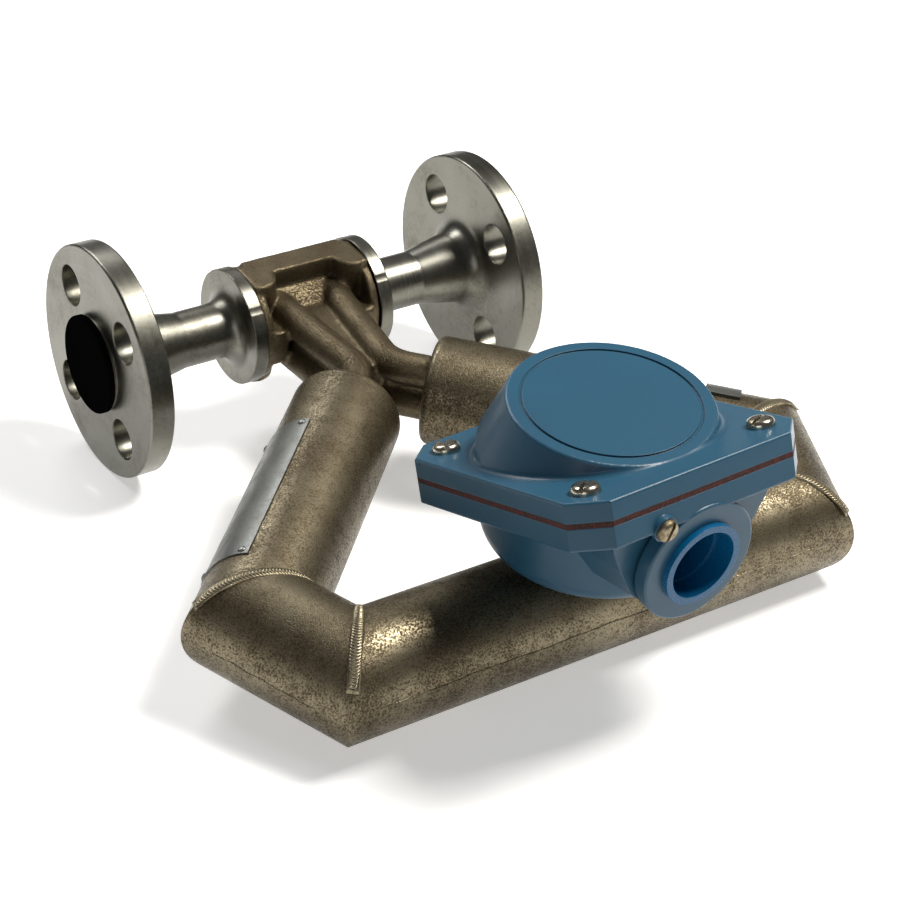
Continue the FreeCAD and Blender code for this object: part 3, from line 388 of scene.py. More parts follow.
@dataclass(frozen=True)
class GlossPaint:
    """Thick gloss paint on a casting, with a light orange peel and dust."""

    name: str
    colour: Colour
    deep: Colour
    rough: float = 0.34
    coat: float = 0.08
    shine: float = 0.32
    dust: Colour = (0.20, 0.28, 0.32)
    dust_strength: float = 0.25
    peel_scale: float = 520.0
    peel_depth: float = 0.04 * MM
    edge: float = 0.5 * MM

    def build(self) -> bpy.types.Material:
        """Make the material.

        Returns:
            The finished material.
        """
        shader = Shader(self.name)
        cloud = shader.noise(30.0, 3.0, 0.5)
        peel = shader.noise(self.peel_scale, 2.0, 0.45)
        dust = shader.noise(2400.0, 2.0, 0.6)
        colour = shader.blend(shader.span(cloud, 0.35, 0.68), self.colour, self.deep)
        fleck = shader.span(dust, 0.70, 0.78)
        colour = shader.blend(shader.maths("MULTIPLY", fleck, self.dust_strength), colour, self.dust)
        rough = shader.span(shader.maths("ADD", cloud, dust), 0.7, 1.3, self.rough - 0.03, self.rough + 0.07)
        normal = shader.bump(peel, self.peel_depth, 0.35, shader.soft_edge(self.edge))
        shader.plain(base_color=colour, metallic=0.0, roughness=rough, normal=normal, coat_weight=self.coat,
                     coat_roughness=0.15, specular_ior_level=self.shine)
        return shader.material


@dataclass(frozen=True)
class Fibre:
    """Gasket sheet whose cut edge shows dark red fibre and black filler."""

    name: str
    red: Colour
    black: Colour
    fleck_scale: float = 950.0
    grain_scale: float = 2200.0
    grain_depth: float = 0.08 * MM

    def build(self) -> bpy.types.Material:
        """Make the material.

        Returns:
            The finished material.
        """
        shader = Shader(self.name)
        fleck = shader.noise(self.fleck_scale, 4.0, 0.7, twist=0.6)
        grain = shader.noise(self.grain_scale, 3.0, 0.6)
        colour = shader.blend(shader.span(fleck, 0.42, 0.60), self.red, self.black)
        normal = shader.bump(grain, self.grain_depth, 0.8)
        shader.plain(base_color=colour, metallic=0.0, roughness=0.8, normal=normal)
        return shader.material


@dataclass(frozen=True)
class MouldedPlastic:
    """Injection moulded plastic with a fine skin and a few scuffs."""

    name: str
    colour: Colour
    scuff: Colour
    rough: float = 0.35
    shine: float = 0.5
    skin_scale: float = 3200.0
    skin_depth: float = 0.006 * MM
    rub_scale: float = 360.0
    edge: float = 0.25 * MM

    def build(self) -> bpy.types.Material:
        """Make the material.

        Returns:
            The finished material.
        """
        shader = Shader(self.name)
        cloud = shader.noise(70.0, 3.0, 0.5)
        skin = shader.noise(self.skin_scale, 2.0, 0.5)
        rub = shader.noise(self.rub_scale, 5.0, 0.7, twist=2.0)
        mask = shader.maths("MULTIPLY", shader.span(rub, 0.60, 0.74), shader.span(cloud, 0.45, 0.6))
        colour = shader.blend(shader.maths("MULTIPLY", mask, 0.5), self.colour, self.scuff)
        rough = shader.span(skin, 0.3, 0.7, self.rough - 0.04, self.rough + 0.08)
        normal = shader.bump(skin, self.skin_depth, 0.5, shader.soft_edge(self.edge))
        shader.plain(base_color=colour, metallic=0.0, roughness=rough, normal=normal,
                     specular_ior_level=self.shine)
        return shader.material


@dataclass(frozen=True)
class Winding:
    """Layers of fine enamelled wire round a coil, with painted shade in the grooves between turns and the
    same dark colour as a random tint on the wire.
    """

    name: str
    colour: Colour
    groove_shade_and_tint: Colour
    turn_scale: float = 900.0
    turn_depth: float = 0.06 * MM

    def build(self) -> bpy.types.Material:
        """Make the material.

        Returns:
            The finished material.
        """
        shader = Shader(self.name)
        turns = shader.add("ShaderNodeTexWave", wave_type="BANDS", bands_direction="Z")
        turns.inputs["Scale"].default_value = self.turn_scale
        turns.inputs["Distortion"].default_value = 0.4
        shader.join(shader.place, turns.inputs["Vector"])
        tint = shader.noise(300.0, 3.0, 0.6)
        # painted shade: the grooves between turns take the dark colour where the bump is low, and the tint
        # noise also mixes it into the wire at random
        colour = shader.blend(turns.outputs["Fac"], self.groove_shade_and_tint, shader.blend(tint, self.colour, self.groove_shade_and_tint))
        normal = shader.bump(turns.outputs["Fac"], self.turn_depth, 0.9)
        shader.plain(base_color=colour, metallic=0.8, roughness=0.34, normal=normal)
        return shader.material


FINISHES: Dict[Slot, object] = {
    Slot.FLANGE: TurnedSteel("turned_flange_steel", (0.188, 0.184, 0.156), (0.128, 0.118, 0.092)),
    Slot.CASTING: BlastedSteel("cast_steel", (0.172, 0.140, 0.086), (0.118, 0.092, 0.054),
                               (0.045, 0.032, 0.018), speck_scale=1300.0, speck_share=0.53,
                               speck_strength=0.6, rough=0.37,
                               grain_depth=0.16 * MM),
    Slot.CASE: BlastedSteel("case_steel_skin", (0.300, 0.258, 0.172), (0.190, 0.156, 0.098),
                            (0.052, 0.039, 0.022)),
    Slot.WELD: SmallMetal("weld_bead_metal", (0.33, 0.286, 0.196), (0.15, 0.122, 0.078), rough=0.30),
    Slot.INNER: SmallMetal("drawn_steel", (0.50, 0.49, 0.47), (0.36, 0.34, 0.31), rough=0.3),
    Slot.PLATE: SmallMetal("bare_plate_metal", (0.235, 0.243, 0.230), (0.165, 0.165, 0.150), rough=0.34,
                           scale=300.0, metallic=0.85),
    Slot.PAINT: GlossPaint("gloss_blue_paint", (0.022, 0.088, 0.148), (0.018, 0.076, 0.132)),
    Slot.GASKET: Fibre("gasket_fibre", (0.075, 0.010, 0.006), (0.008, 0.006, 0.005)),
    Slot.SCREW: SmallMetal("nickel_screw", (0.58, 0.54, 0.45), (0.32, 0.28, 0.20), rough=0.17),
    Slot.EARTH: SmallMetal("earth_screw_metal", (0.34, 0.29, 0.20), (0.14, 0.11, 0.06), rough=0.36,
                           scale=1500.0, depth=0.06 * MM),
    Slot.PLUG: MouldedPlastic("bright_blue_plastic", (0.002, 0.102, 0.245), (0.02, 0.17, 0.34), rough=0.26,
                              shine=0.35),
    Slot.PROTECTOR: MouldedPlastic("black_plastic", (0.003, 0.003, 0.003), (0.012, 0.012, 0.012), rough=0.6,
                                   shine=0.0),
    Slot.TERMINAL: MouldedPlastic("terminal_moulding", (0.02, 0.02, 0.02), (0.06, 0.06, 0.06), rough=0.45),
    Slot.BRASS: SmallMetal("clamp_brass", (0.62, 0.46, 0.20), (0.40, 0.28, 0.11)),
    Slot.MAGNET: SmallMetal("magnet_nickel", (0.60, 0.60, 0.60), (0.42, 0.42, 0.42), rough=0.18),
    Slot.COIL: Winding("coil_winding", (0.50, 0.22, 0.08), (0.16, 0.06, 0.02)),
}


class Finishes:
    """Every finish, built once and handed out by slot."""

    def __init__(self) -> None:
        """Build all the materials."""
        self.made = {slot: finish.build() for slot, finish in FINISHES.items()}

    def get(self, slot: Slot) -> bpy.types.Material:
        """Material of a slot."""
        return self.made[slot]

    def dress_nodes(self) -> None:
        """Give each carried CAD node the finish of its slot."""
        for entry in frame["record"]["subparts"]:
            node = frame["nodes"].get(entry["node"])
            if node is None:
                continue
            material = self.get(Slot(entry["material_slot"]))
            node.data.materials.clear()
            node.data.materials.append(material)
            LOG.info("dressed %s with %s", entry["node"], material.name)


def new_piece(name: str, mesh: bpy.types.Mesh) -> bpy.types.Object:
    """Mesh linked into the scene as an object at the origin.

    Args:
        name: Name of the object.
        mesh: Its mesh.

    Returns:
        The new object.
    """
    piece = bpy.data.objects.new(name, mesh)
    bpy.context.scene.collection.objects.link(piece)
    return piece


def mesh_from(name: str, points: Sequence[Vector], faces: Sequence[Sequence[int]]) -> bpy.types.Mesh:
    """Mesh from points and faces, with its normals made to point outwards.

    Args:
        name: Name of the mesh.
        points: Vertex places in metres.
        faces: Vertex numbers of each face.

    Returns:
        The mesh, shaded smooth.
    """
    mesh = bpy.data.meshes.new(name)
    mesh.from_pydata([tuple(point) for point in points], [], [tuple(face) for face in faces])
    work = bmesh.new()
    work.from_mesh(mesh)
    bmesh.ops.recalc_face_normals(work, faces=work.faces[:])
    work.to_mesh(mesh)
    work.free()
    mesh.shade_smooth()
    return mesh


def band_faces(rows: int, row: int) -> List[Tuple[int, ...]]:
    """Faces between closed rows of points that follow each other.

    Args:
        rows: Number of gaps between the rows.
        row: Points in each row.

    Returns:
        The faces, gap by gap.
    """
    faces: List[Tuple[int, ...]] = []
    for first in range(rows):
        low = first * row
        high = low + row
        for step in range(row):
            follow = (step + 1) % row
            faces.append((low + step, low + follow, high + follow, high + step))
    return faces


def capped_band(rows: int, row: int) -> List[Tuple[int, ...]]:
    """Faces of a closed band with a face on each of its two ends.

    Args:
        rows: Number of gaps between the rows.
        row: Points in each row.

    Returns:
        The side faces, then the two ends.
    """
    faces = band_faces(rows, row)
    faces.append(tuple(range(row)))
    faces.append(tuple(rows * row + step for step in range(row)))
    return faces


def declare(piece: bpy.types.Object, body: str = ROOT_BODY, nodes: Iterable[str] = ()) -> None:
    """Args:
        piece: Finished piece.
        body: Body it moves with.
        nodes: CAD nodes it stands for.
    """
    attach(piece, body)
    names = tuple(nodes)
    if names:
        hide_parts(*names)
    LOG.info("piece %s on %s, %d faces", piece.name, body, len(piece.data.polygons))


class GeometryTree(NodeBuilder):
    """Geometry Nodes tree under construction, with named inputs for its sizes."""

    def __init__(self, name: str) -> None:
        """Start a tree with one geometry going in and one coming out.

        Args:
            name: Name of the tree.
        """
        self.tree = bpy.data.node_groups.new(name, "GeometryNodeTree")
        self.tree.interface.new_socket("Geometry", in_out="INPUT", socket_type="NodeSocketGeometry")
        self.tree.interface.new_socket("Geometry", in_out="OUTPUT", socket_type="NodeSocketGeometry")
        self.entry = self.tree.nodes.new("NodeGroupInput")
        self.exit = self.tree.nodes.new("NodeGroupOutput")
        self.names: Dict[str, str] = {}

    def size(self, name: str, kind: str = "NodeSocketFloat") -> bpy.types.NodeSocket:
        """Add a named input and give its socket.

        Args:
            name: Name of the input.
            kind: Type of its socket.

        Returns:
            The socket inside the tree.
        """
        item = self.tree.interface.new_socket(name, in_out="INPUT", socket_type=kind)
        self.names[name] = item.identifier
        return [socket for socket in self.entry.outputs if socket.identifier == item.identifier][0]

    def close(self, instances: bpy.types.NodeSocket, material: bpy.types.NodeSocket) -> None:
        """End the tree in Realize Instances and Set Material.

        Args:
            instances: Output with the instances.
            material: Input that holds the finish.
        """
        real = self.add("GeometryNodeRealizeInstances")
        paint = self.add("GeometryNodeSetMaterial")
        self.join(instances, real.inputs["Geometry"])
        self.join(real.outputs["Geometry"], paint.inputs["Geometry"])
        self.join(material, paint.inputs["Material"])
        self.join(paint.outputs["Geometry"], self.exit.inputs["Geometry"])

    def run(self, carrier: bpy.types.Object, name: str, **sizes: object) -> bpy.types.Object:
        """Run the tree on a carrier and keep the result as a plain mesh.

        Args:
            carrier: Object that holds the points.
            name: Name of the finished piece.
            **sizes: Values of the named inputs.

        Returns:
            The finished piece, with no modifier.
        """
        modifier = carrier.modifiers.new(name, "NODES")
        modifier.node_group = self.tree
        for title, value in sizes.items():
            modifier[self.names[title]] = value
        carrier.update_tag()
        graph = bpy.context.evaluated_depsgraph_get()
        mesh = bpy.data.meshes.new_from_object(carrier.evaluated_get(graph), depsgraph=graph)
        mesh.name = name
        piece = new_piece(name, mesh)
        bpy.data.objects.remove(carrier)
        return piece


def carrier_points(name: str, points: Sequence[Vector], outward: Sequence[Vector], along: Sequence[Vector],
                   weight: Sequence[float]) -> bpy.types.Object:
    """Loose points that carry their own directions and weights for a tree to read.

    Args:
        name: Name of the carrier.
        points: Places in metres.
        outward: Direction away from the surface at each point.
        along: Direction of travel at each point.
        weight: Scale of what goes on each point.

    Returns:
        The carrier object.
    """
    mesh = bpy.data.meshes.new(name)
    mesh.from_pydata([tuple(point) for point in points], [], [])
    for title, vectors in (("outward", outward), ("along", along)):
        layer = mesh.attributes.new(title, "FLOAT_VECTOR", "POINT")
        layer.data.foreach_set("vector", [value for vector in vectors for value in vector])
    layer = mesh.attributes.new("weight", "FLOAT", "POINT")
    layer.data.foreach_set("value", list(weight))
    return new_piece(name, mesh)


def point_tree(name: str) -> GeometryTree:
    """Tree that sets one copy of a stamp object on each carrier point.

    The stamp's +Z goes outward and its +X goes along. Inputs: Stamp, Finish and Scale.

    Args:
        name: Name of the tree.

    Returns:
        The closed tree.
    """
    tree = GeometryTree(name)
    stamp = tree.size("Stamp", "NodeSocketObject")
    finish = tree.size("Finish", "NodeSocketMaterial")
    scale = tree.size("Scale")
    source = tree.add("GeometryNodeObjectInfo")
    tree.join(stamp, source.inputs["Object"])
    turns = []
    for title, axis in (("outward", "Z"), ("along", "X")):
        read = tree.add("GeometryNodeInputNamedAttribute", data_type="FLOAT_VECTOR")
        read.inputs["Name"].default_value = title
        turn = tree.add("FunctionNodeAlignRotationToVector", axis=axis)
        tree.join([socket for socket in read.outputs if socket.type == "VECTOR"][0], turn.inputs["Vector"])
        turns.append(turn)
    turns[1].pivot_axis = "Z"
    tree.join(turns[0].outputs[0], turns[1].inputs["Rotation"])
    weight = tree.add("GeometryNodeInputNamedAttribute", data_type="FLOAT")
    weight.inputs["Name"].default_value = "weight"
    product = tree.add("ShaderNodeMath", operation="MULTIPLY")
    tree.join([socket for socket in weight.outputs if socket.type == "VALUE"][0], product.inputs[0])
    tree.join(scale, product.inputs[1])
    copies = tree.add("GeometryNodeInstanceOnPoints")
    tree.join(tree.entry.outputs["Geometry"], copies.inputs["Points"])
    tree.join(source.outputs["Geometry"], copies.inputs["Instance"])
    tree.join(turns[1].outputs[0], copies.inputs["Rotation"])
    tree.join(product.outputs[0], copies.inputs["Scale"])
    tree.close(copies.outputs["Instances"], finish)
    return tree


@dataclass(frozen=True)
class Loop:
    """Centreline of the case in the row's frame, in millimetres."""

    face_to_face: float = 173.3
    leg_gap: float = 21.0
    leg_drop: float = 71.3
    leg_length: float = 117.3
    leg_angle: float = 45.0
    corner_length: float = 40.1
    corner_angle: float = 22.5
    radius: float = 20.4
    inside_depth: float = 120.0

    def chain(self, side: Side) -> List[Vector]:
        """Corners from the leg's end round to the far foot, in metres.

        Args:
            side: Half of the loop to start on.

        Returns:
            Leg end, knee, foot and the far foot.
        """
        leg = math.radians(self.leg_angle)
        corner = math.radians(self.corner_angle)
        start = Vector((self.leg_gap, -self.leg_drop, 0.0))
        knee = start + Vector((math.cos(leg), -math.sin(leg), 0.0)) * self.leg_length
        foot = knee + Vector((-math.sin(corner), -math.cos(corner), 0.0)) * self.corner_length
        far = Vector((-foot.x, foot.y, 0.0))
        middle = self.face_to_face / 2
        corners = (start, knee, foot, far)
        return [Vector((middle + side.value * point.x, point.y, 0.0)) * MM for point in corners]

    def inside(self) -> Vector:
        """Place in the open middle of the loop."""
        return Vector((self.face_to_face / 2, -self.inside_depth, 0.0)) * MM

    def mitre(self, index: int, side: Side) -> Tuple[Vector, Vector, float]:
        """Centre, in-plane direction away from the bend and long half axis of a mitre.

        Args:
            index: 0 for the mitre at the leg, 1 for the one at the base tube.
            side: Half of the loop.

        Returns:
            The three values, in metres.
        """
        before, corner, after = self.chain(side)[index:index + 3]
        back = (before - corner).normalized()
        ahead = (after - corner).normalized()
        across = (back + ahead).normalized()
        half = math.acos(max(-1.0, min(1.0, back.dot(ahead)))) / 2
        return corner, across, self.radius * MM / math.sin(half)


@dataclass
class BeadPath:
    """Places along a bead, with the directions and weight of each."""

    places: List[Vector] = field(default_factory=list)
    outward: List[Vector] = field(default_factory=list)
    along: List[Vector] = field(default_factory=list)
    weight: List[float] = field(default_factory=list)

    def put(self, place: Vector, outward: Vector, along: Vector, weight: float) -> None:
        """Add one place.

        Args:
            place: Place on the case.
            outward: Direction away from the surface.
            along: Direction of travel.
            weight: Share of the full bead there.
        """
        self.places.append(place)
        self.outward.append(outward)
        self.along.append(along)
        self.weight.append(weight)


@dataclass
class WeldBeads:
    """Rippled beads round the upper side of the four mitres of the case."""

    loop: Loop
    finishes: Finishes
    width: float = 4.2 * MM
    height: float = 0.50 * MM
    root: float = 1.0 * MM
    sink: float = 0.1 * MM
    ripple: float = 0.30 * MM
    pitch: float = 1.15 * MM
    overlap: float = 1.25
    bow: float = 1.2 * MM
    fade_low: float = 10.5 * MM
    fade_high: float = 19.0 * MM
    least_bead: float = 0.02
    least_ripple: float = 0.10
    ripple_power: float = 0.45
    fine_steps: int = 2000
    across_steps: int = 10

    def stations(self, index: int, side: Side) -> BeadPath:
        """Evenly spaced places round one mitre.

        Args:
            index: 0 for the mitre at the leg, 1 for the one at the base tube.
            side: Half of the loop.

        Returns:
            The places in their order.
        """
        centre, across, long_half = self.loop.mitre(index, side)
        rise = Vector((0.0, 0.0, self.loop.radius * MM))
        ring = []
        for count in range(self.fine_steps):
            turn = 2 * math.pi * count / self.fine_steps
            ring.append(centre + across * (long_half * math.cos(turn)) + rise * math.sin(turn))
        travelled = [0.0]
        for first, second in zip(ring, ring[1:] + ring[:1]):
            travelled.append(travelled[-1] + (second - first).length)
        steps = int(travelled[-1] / self.pitch)
        path = BeadPath()
        for step in range(steps):
            goal = travelled[-1] * step / steps
            count = int(np.searchsorted(travelled, goal)) % self.fine_steps
            point = ring[count]
            tangent = (ring[(count + 1) % self.fine_steps] - ring[count - 1]).normalized()
            normal = (point - centre)
            normal = (normal - tangent * normal.dot(tangent)).normalized()
            share = (point.z - self.fade_low) / (self.fade_high - self.fade_low)
            path.put(point, normal, tangent, max(0.0, min(1.0, share)))
        return path

    def bead(self, path: BeadPath) -> Tuple[List[Vector], List[Tuple[int, ...]]]:
        """Smooth bead under the ripples of one mitre, closed at its faded ends.

        Args:
            path: Stations round the mitre.

        Returns:
            Points and faces of the bead.
        """
        total = len(path.places)
        start = min(range(total), key=lambda count: path.places[count].z)
        order = [(start + count) % total for count in range(total)]
        order = [count for count in order if path.weight[count] > self.least_bead]
        points: List[Vector] = []
        for count in order:
            place = path.places[count]
            outward = path.outward[count]
            side_way = path.along[count].cross(outward)
            for step in range(self.across_steps + 1):
                share = 2 * step / self.across_steps - 1
                lift = self.height * path.weight[count] * math.sqrt(max(0.0, 1 - share * share)) - self.sink
                points.append(place + side_way * (share * self.width / 2) + outward * lift)
            points.append(place - outward * self.root)
        return points, capped_band(len(order) - 1, self.across_steps + 2)

    def stamp(self) -> bpy.types.Object:
        """One bowed ripple, thick in its middle: +X along the bead, +Z outward.

        Returns:
            The ripple to stamp.
        """
        across, length = 8, 5
        end_crown = 0.96
        points: List[Vector] = []
        for step in range(across + 1):
            share = 2 * step / across - 1
            crown = math.sqrt(max(0.0, 1 - share * share * end_crown))
            for run in range(length + 1):
                lean = run / length
                x = lean * self.pitch * self.overlap - self.bow * share * share
                z = crown * (self.height + self.ripple * math.sin(math.pi * lean)) - self.sink
                if run in (0, length):
                    z -= self.ripple
                points.append(Vector((x, share * self.width / 2, z)))
        row = length + 1
        faces = [(step * row + run, step * row + run + 1, (step + 1) * row + run + 1, (step + 1) * row + run)
                 for step in range(across) for run in range(length)]
        faces.append(tuple(range(row)))
        faces.append(tuple(across * row + run for run in range(row)))
        faces.append(tuple(step * row for step in range(across + 1)))
        faces.append(tuple(step * row + length for step in range(across + 1)))
        return new_piece("ripple_stamp", mesh_from("ripple_stamp", points, faces))

    def ripples(self, path: BeadPath) -> bpy.types.Object:
        """Ripples stamped on the stations of all four mitres.

        Args:
            path: Places to stamp.

        Returns:
            The ripples as one piece.
        """
        stamp = self.stamp()
        carrier = carrier_points("ripple_points", path.places, path.outward, path.along, path.weight)
        piece = point_tree("ripple_tree").run(carrier, "ripples", Stamp=stamp,
                                              Finish=self.finishes.get(Slot.WELD), Scale=1.0)
        bpy.data.objects.remove(stamp)
        return piece

    def build(self) -> bpy.types.Object:
        """Returns:
            The declared piece.
        """
        stamped = BeadPath()
        points: List[Vector] = []
        faces: List[Tuple[int, ...]] = []
        for index in (0, 1):
            for side in Side:
                path = self.stations(index, side)
                for count, weight in enumerate(path.weight):
                    if weight > self.least_ripple:
                        stamped.put(path.places[count], path.outward[count], path.along[count],
                                    weight ** self.ripple_power)
                bead_points, bead_faces = self.bead(path)
                faces += [tuple(number + len(points) for number in face) for face in bead_faces]
                points += bead_points
        ripples = self.ripples(stamped)
        under = new_piece("mitre_weld_beads", mesh_from("mitre_weld_beads", points, faces))
        under.data.materials.append(self.finishes.get(Slot.WELD))
        piece = merged("mitre_weld_beads", [under, ripples])
        declare(piece, nodes=("mitre_welds",))
        return piece


@dataclass
class CaseSeam:
    """Low weld line along the outside of the base tube and the two corner tubes."""

    loop: Loop
    finishes: Finishes
    width: float = 1.1 * MM
    height: float = 0.16 * MM
    sway: float = 0.25 * MM
    sway_pace: float = 23.0
    waver: float = 0.12 * MM
    waver_pace: float = 61.0
    base_angle: float = 80.0
    corner_angle: float = 90.0
    steps: int = 60
    profile: Tuple[Tuple[float, float], ...] = (
        (-1.0, -0.3), (-0.45, 0.75), (0.0, 1.0), (0.45, 0.75), (1.0, -0.3))

    def run(self, start: Vector, end: Vector, angle: float) -> Tuple[List[Vector], List[Tuple[int, ...]]]:
        """Wavering line from one mitre to the next, on the side that faces away from the pipe.

        Args:
            start: Mitre centre at one end.
            end: Mitre centre at the other.
            angle: Degrees from straight up to the line, towards the outside.

        Returns:
            Points and faces of the line.
        """
        upright = Vector((0.0, 0.0, 1.0))
        ahead = (end - start).normalized()
        outside = ahead.cross(upright)
        if outside.dot((start + end) / 2 - self.loop.inside()) < 0:
            outside = -outside
        turn = math.radians(angle)
        normal = (outside * math.sin(turn) + upright * math.cos(turn)).normalized()
        side_way = ahead.cross(normal)
        radius = self.loop.radius * MM
        points: List[Vector] = []
        for step in range(self.steps + 1):
            share = step / self.steps
            place = start.lerp(end, share)
            drift = self.sway * math.sin(share * self.sway_pace)
            drift += self.waver * math.sin(share * self.waver_pace)
            for across, lift in self.profile:
                lean = (across * self.width / 2 + drift) / radius
                spoke = normal * math.cos(lean) + side_way * math.sin(lean)
                points.append(place + spoke * (radius + lift * self.height))
            points.append(place + normal * (radius - self.height * 2))
        return points, capped_band(self.steps, len(self.profile) + 1)

    def build(self) -> bpy.types.Object:
        """Returns:
            The declared piece.
        """
        inlet = self.loop.chain(Side.INLET)
        outlet = self.loop.chain(Side.OUTLET)
        lines = ((inlet[2], outlet[2], self.base_angle), (inlet[1], inlet[2], self.corner_angle),
                 (outlet[1], outlet[2], self.corner_angle))
        points: List[Vector] = []
        faces: List[Tuple[int, ...]] = []
        for start, end, angle in lines:
            found, strips = self.run(start, end, angle)
            faces += [tuple(number + len(points) for number in face) for face in strips]
            points += found
        piece = new_piece("case_seam", mesh_from("case_seam", points, faces))
        piece.data.materials.append(self.finishes.get(Slot.CASE))
        declare(piece)
        return piece


def merged(name: str, parts: Sequence[bpy.types.Object]) -> bpy.types.Object:
    """Several pieces of one finish as one mesh.

    Args:
        name: Name of the result.
        parts: Objects at the origin, which are removed.

    Returns:
        The joined piece.
    """
    work = bmesh.new()
    for part in parts:
        work.from_mesh(part.data)
    mesh = bpy.data.meshes.new(name)
    work.to_mesh(mesh)
    work.free()
    mesh.materials.append(parts[0].data.materials[0])
    mesh.shade_smooth()
    for part in parts:
        bpy.data.objects.remove(part)
    piece = new_piece(name, mesh)
    piece.name = name
    return piece


@dataclass
class Rivets:
    """Domed rivets at the four corners of the bare nameplate."""

    loop: Loop
    finishes: Finishes
    plate_start: float = 30.0
    plate_length: float = 78.0
    plate_turn: float = 196.0
    plate_arc: float = 69.0
    plate_thickness: float = 0.6
    diameter: float = 3.0
    height: float = 0.75
    inset_share: float = 0.7
    margin_share: float = 2.4

    def stamp(self) -> bpy.types.Object:
        """One domed rivet, its foot just under the plate.

        Returns:
            The rivet to stamp.
        """
        rings, around = 7, 20
        points: List[Vector] = []
        for ring in range(rings):
            turn = math.pi / 2 * ring / rings
            radius = self.diameter / 2 * math.cos(turn) * MM
            rise = self.height * math.sin(turn) * MM
            for count in range(around):
                angle = 2 * math.pi * count / around
                points.append(Vector((radius * math.cos(angle), radius * math.sin(angle), rise)))
        points.append(Vector((0.0, 0.0, self.height * MM)))
        faces = [tuple(range(around))] + band_faces(rings - 1, around)
        top = (rings - 1) * around
        for count in range(around):
            faces.append((top + count, top + (count + 1) % around, len(points) - 1))
        return new_piece("rivet_stamp", mesh_from("rivet_stamp", points, faces))

    def build(self) -> bpy.types.Object:
        """Returns:
            The declared piece.
        """
        start, knee = self.loop.chain(Side.INLET)[:2]
        run = (knee - start).normalized()
        inside = Vector((0.0, 0.0, 1.0)).cross(run)
        reach = (self.loop.radius + self.plate_thickness) * MM
        inset = self.diameter * self.inset_share
        margin = self.diameter * self.margin_share
        angles = (self.plate_turn - 90 + margin, self.plate_turn + self.plate_arc - 90 - margin)
        places, outward = [], []
        plate_end = self.plate_start + self.plate_length
        for station in (self.plate_start + inset, plate_end - inset):
            for angle in angles:
                turn = math.radians(angle)
                away = inside * math.cos(turn) + Vector((0.0, 0.0, 1.0)) * math.sin(turn)
                places.append(start + run * (station * MM) + away * reach)
                outward.append(away)
        stamp = self.stamp()
        carrier = carrier_points("rivet_points", places, outward, [run] * len(places), [1.0] * len(places))
        piece = point_tree("rivet_tree").run(carrier, "nameplate_rivet_heads", Stamp=stamp,
                                             Finish=self.finishes.get(Slot.PLATE), Scale=1.0)
        bpy.data.objects.remove(stamp)
        piece.data.shade_smooth()
        declare(piece, nodes=("nameplate_rivets",))
        return piece


@dataclass
class CastSkin:
    """Rounded corners and a faint unevenness of the cast manifold, set on the carried node as modifiers."""

    node: str = "manifold"
    cell: float = 0.75 * MM
    passes: int = 5
    swell: float = 0.25 * MM
    lump: float = 7.0 * MM

    def build(self) -> None:
        """Add the modifiers to the carried node."""
        node = frame["nodes"].get(self.node)
        if node is None:
            return
        cells = node.modifiers.new("cast_cells", "REMESH")
        cells.mode = "VOXEL"
        cells.voxel_size = self.cell
        cells.use_smooth_shade = True
        round_off = node.modifiers.new("cast_rounding", "SMOOTH")
        round_off.factor = 0.5
        round_off.iterations = self.passes
        lumps = bpy.data.textures.new("cast_lumps", "CLOUDS")
        lumps.noise_scale = self.lump
        uneven = node.modifiers.new("cast_unevenness", "DISPLACE")
        uneven.texture = lumps
        uneven.texture_coords = "LOCAL"
        uneven.strength = self.swell
        uneven.mid_level = 0.5


@dataclass(frozen=True)
class Lamp:
    """Soft rectangular lamp aimed at the meter."""

    name: str
    place: Vector
    width: float
    height: float
    power: float
    colour: Colour = (1.0, 1.0, 1.0)

    def build(self, aim: Vector) -> None:
        """Hang the lamp and turn it to the aim.

        Args:
            aim: Place that the lamp looks at.
        """
        data = bpy.data.lights.new(self.name, "AREA")
        data.shape = "RECTANGLE"
        data.size = self.width
        data.size_y = self.height
        data.energy = self.power
        data.color = self.colour
        lamp = bpy.data.objects.new(self.name, data)
        lamp.location = self.place
        lamp.rotation_mode = "QUATERNION"
        lamp.rotation_quaternion = (aim - self.place).to_track_quat("-Z", "Y")
        bpy.context.scene.collection.objects.link(lamp)


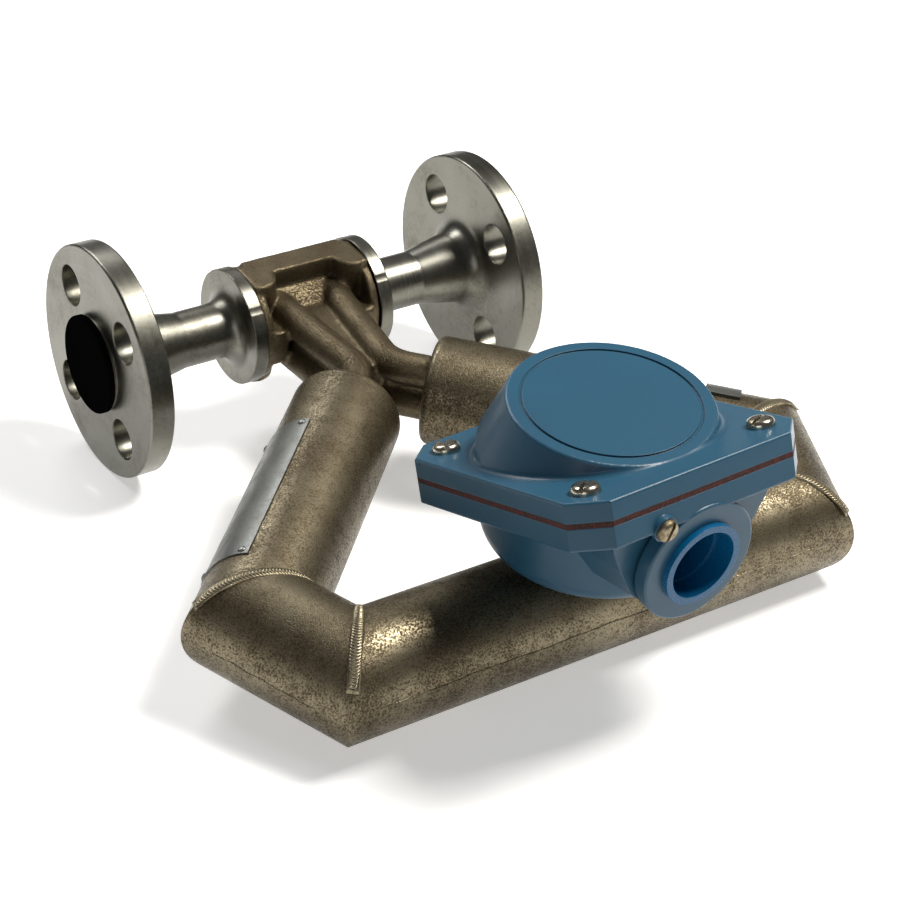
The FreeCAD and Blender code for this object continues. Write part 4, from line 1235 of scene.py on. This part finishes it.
@dataclass
class Studio:
    """Pale floor, plain soft light and the camera at the photograph's place."""

    camera_place: Vector = Vector((-0.3128429, -0.6521449, 0.4999132))
    camera_right: Vector = Vector((0.8383417, -0.5383403, 0.0858658))
    camera_up: Vector = Vector((0.2628718, 0.5371945, 0.8014490))
    lens: float = 94.256
    sensor: float = 36.0
    flange_radius: float = 44.45 * MM
    aim: Vector = Vector((0.087, -0.10, 0.0))
    ambient: float = 0.085
    mirrored: float = 0.10
    floor_glow: float = 0.45
    floor_reach: float = 6.0
    floor_gap: float = 0.2 * MM

    def floor(self, loop: Loop) -> None:
        """Large pale floor under the three places the meter stands on: two flange rims and the base tube.

        Camera and glossy rays see it a little paler, as the white background that steel mirrors.

        Args:
            loop: Centreline of the case.
        """
        foot = loop.chain(Side.INLET)[2]
        drop = self.flange_radius - loop.radius * MM
        tilt = math.atan2(drop, -foot.y)
        middle = Vector((loop.face_to_face / 2 * MM, 0.0, 0.0))
        turn = Matrix.Rotation(-tilt, 3, "X")
        down = turn @ Vector((0.0, 0.0, -1.0))
        corners = [Vector((x, y, 0.0)) * self.floor_reach for x, y in ((-1, -1), (1, -1), (1, 1), (-1, 1))]
        foot_point = middle + down * (self.flange_radius + self.floor_gap)
        mesh = bpy.data.meshes.new("studio_floor")
        mesh.from_pydata([tuple(foot_point + turn @ corner) for corner in corners], [], [(0, 1, 2, 3)])
        floor = new_piece("studio_floor", mesh)
        shader = Shader("pale_floor")
        path = shader.add("ShaderNodeLightPath")
        seen = shader.maths("MAXIMUM", path.outputs["Is Camera Ray"], path.outputs["Is Glossy Ray"])
        shader.plain(base_color=solid_colour((0.86, 0.86, 0.86)), roughness=0.9,
                     emission_color=solid_colour((1.0, 0.99, 0.97)),
                     emission_strength=shader.maths("MULTIPLY", seen, self.floor_glow))
        mesh.materials.append(shader.material)

    def world(self) -> None:
        """White backdrop for the camera, a greyer one for reflections and a soft even light for the rest."""
        world = bpy.data.worlds.new("studio_world")
        bpy.context.scene.world = world
        world.use_nodes = True
        tree = world.node_tree
        tree.nodes.clear()
        path = tree.nodes.new("ShaderNodeLightPath")
        level = self.ambient
        for ray, strength in (("Is Glossy Ray", self.mirrored), ("Is Camera Ray", 1.0)):
            choose = tree.nodes.new("ShaderNodeMix")
            tree.links.new(path.outputs[ray], choose.inputs["Factor"])
            if isinstance(level, float):
                choose.inputs["A"].default_value = level
            else:
                tree.links.new(level, choose.inputs["A"])
            choose.inputs["B"].default_value = strength
            level = choose.outputs["Result"]
        back = tree.nodes.new("ShaderNodeBackground")
        tree.links.new(level, back.inputs["Strength"])
        output = tree.nodes.new("ShaderNodeOutputWorld")
        tree.links.new(back.outputs[0], output.inputs["Surface"])

    def lamps(self) -> None:
        """Overhead key, low fill from the left and a rim lamp behind."""
        for lamp in (Lamp("key_lamp", Vector((0.64, -0.18, 1.06)), 0.42, 0.34, 18.0, (1.0, 0.97, 0.92)),
                     Lamp("fill_lamp", Vector((-0.85, -0.90, 0.45)), 0.7, 0.5, 1.8),
                     Lamp("rim_lamp", Vector((0.0, 0.95, 0.80)), 0.9, 0.35, 9.0)):
            lamp.build(self.aim)

    def camera(self) -> None:
        """Camera fitted to the photograph."""
        data = bpy.data.cameras.new("photo_camera")
        data.sensor_width = self.sensor
        data.lens = self.lens
        data.clip_start = 0.01
        data.clip_end = 100.0
        camera = bpy.data.objects.new("photo_camera", data)
        right = self.camera_right.normalized()
        back = right.cross(self.camera_up).normalized()
        up = back.cross(right)
        turn = Matrix((right, up, back)).transposed().to_4x4()
        camera.matrix_world = Matrix.Translation(self.camera_place) @ turn
        bpy.context.scene.collection.objects.link(camera)
        bpy.context.scene.camera = camera

    def build(self, loop: Loop) -> None:
        """Set up the whole studio.

        Args:
            loop: Centreline of the case.
        """
        bpy.context.scene.view_settings.view_transform = "Standard"
        self.floor(loop)
        self.world()
        self.lamps()
        self.camera()


def main() -> None:
    """Build and dress every piece in order."""
    logging.basicConfig(level=logging.INFO)
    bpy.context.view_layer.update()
    loop = Loop()
    finishes = Finishes()
    finishes.dress_nodes()
    WeldBeads(loop, finishes).build()
    CaseSeam(loop, finishes).build()
    Rivets(loop, finishes).build()
    CastSkin().build()
    Studio().build(loop)


if __name__ == "__main__":
    main()
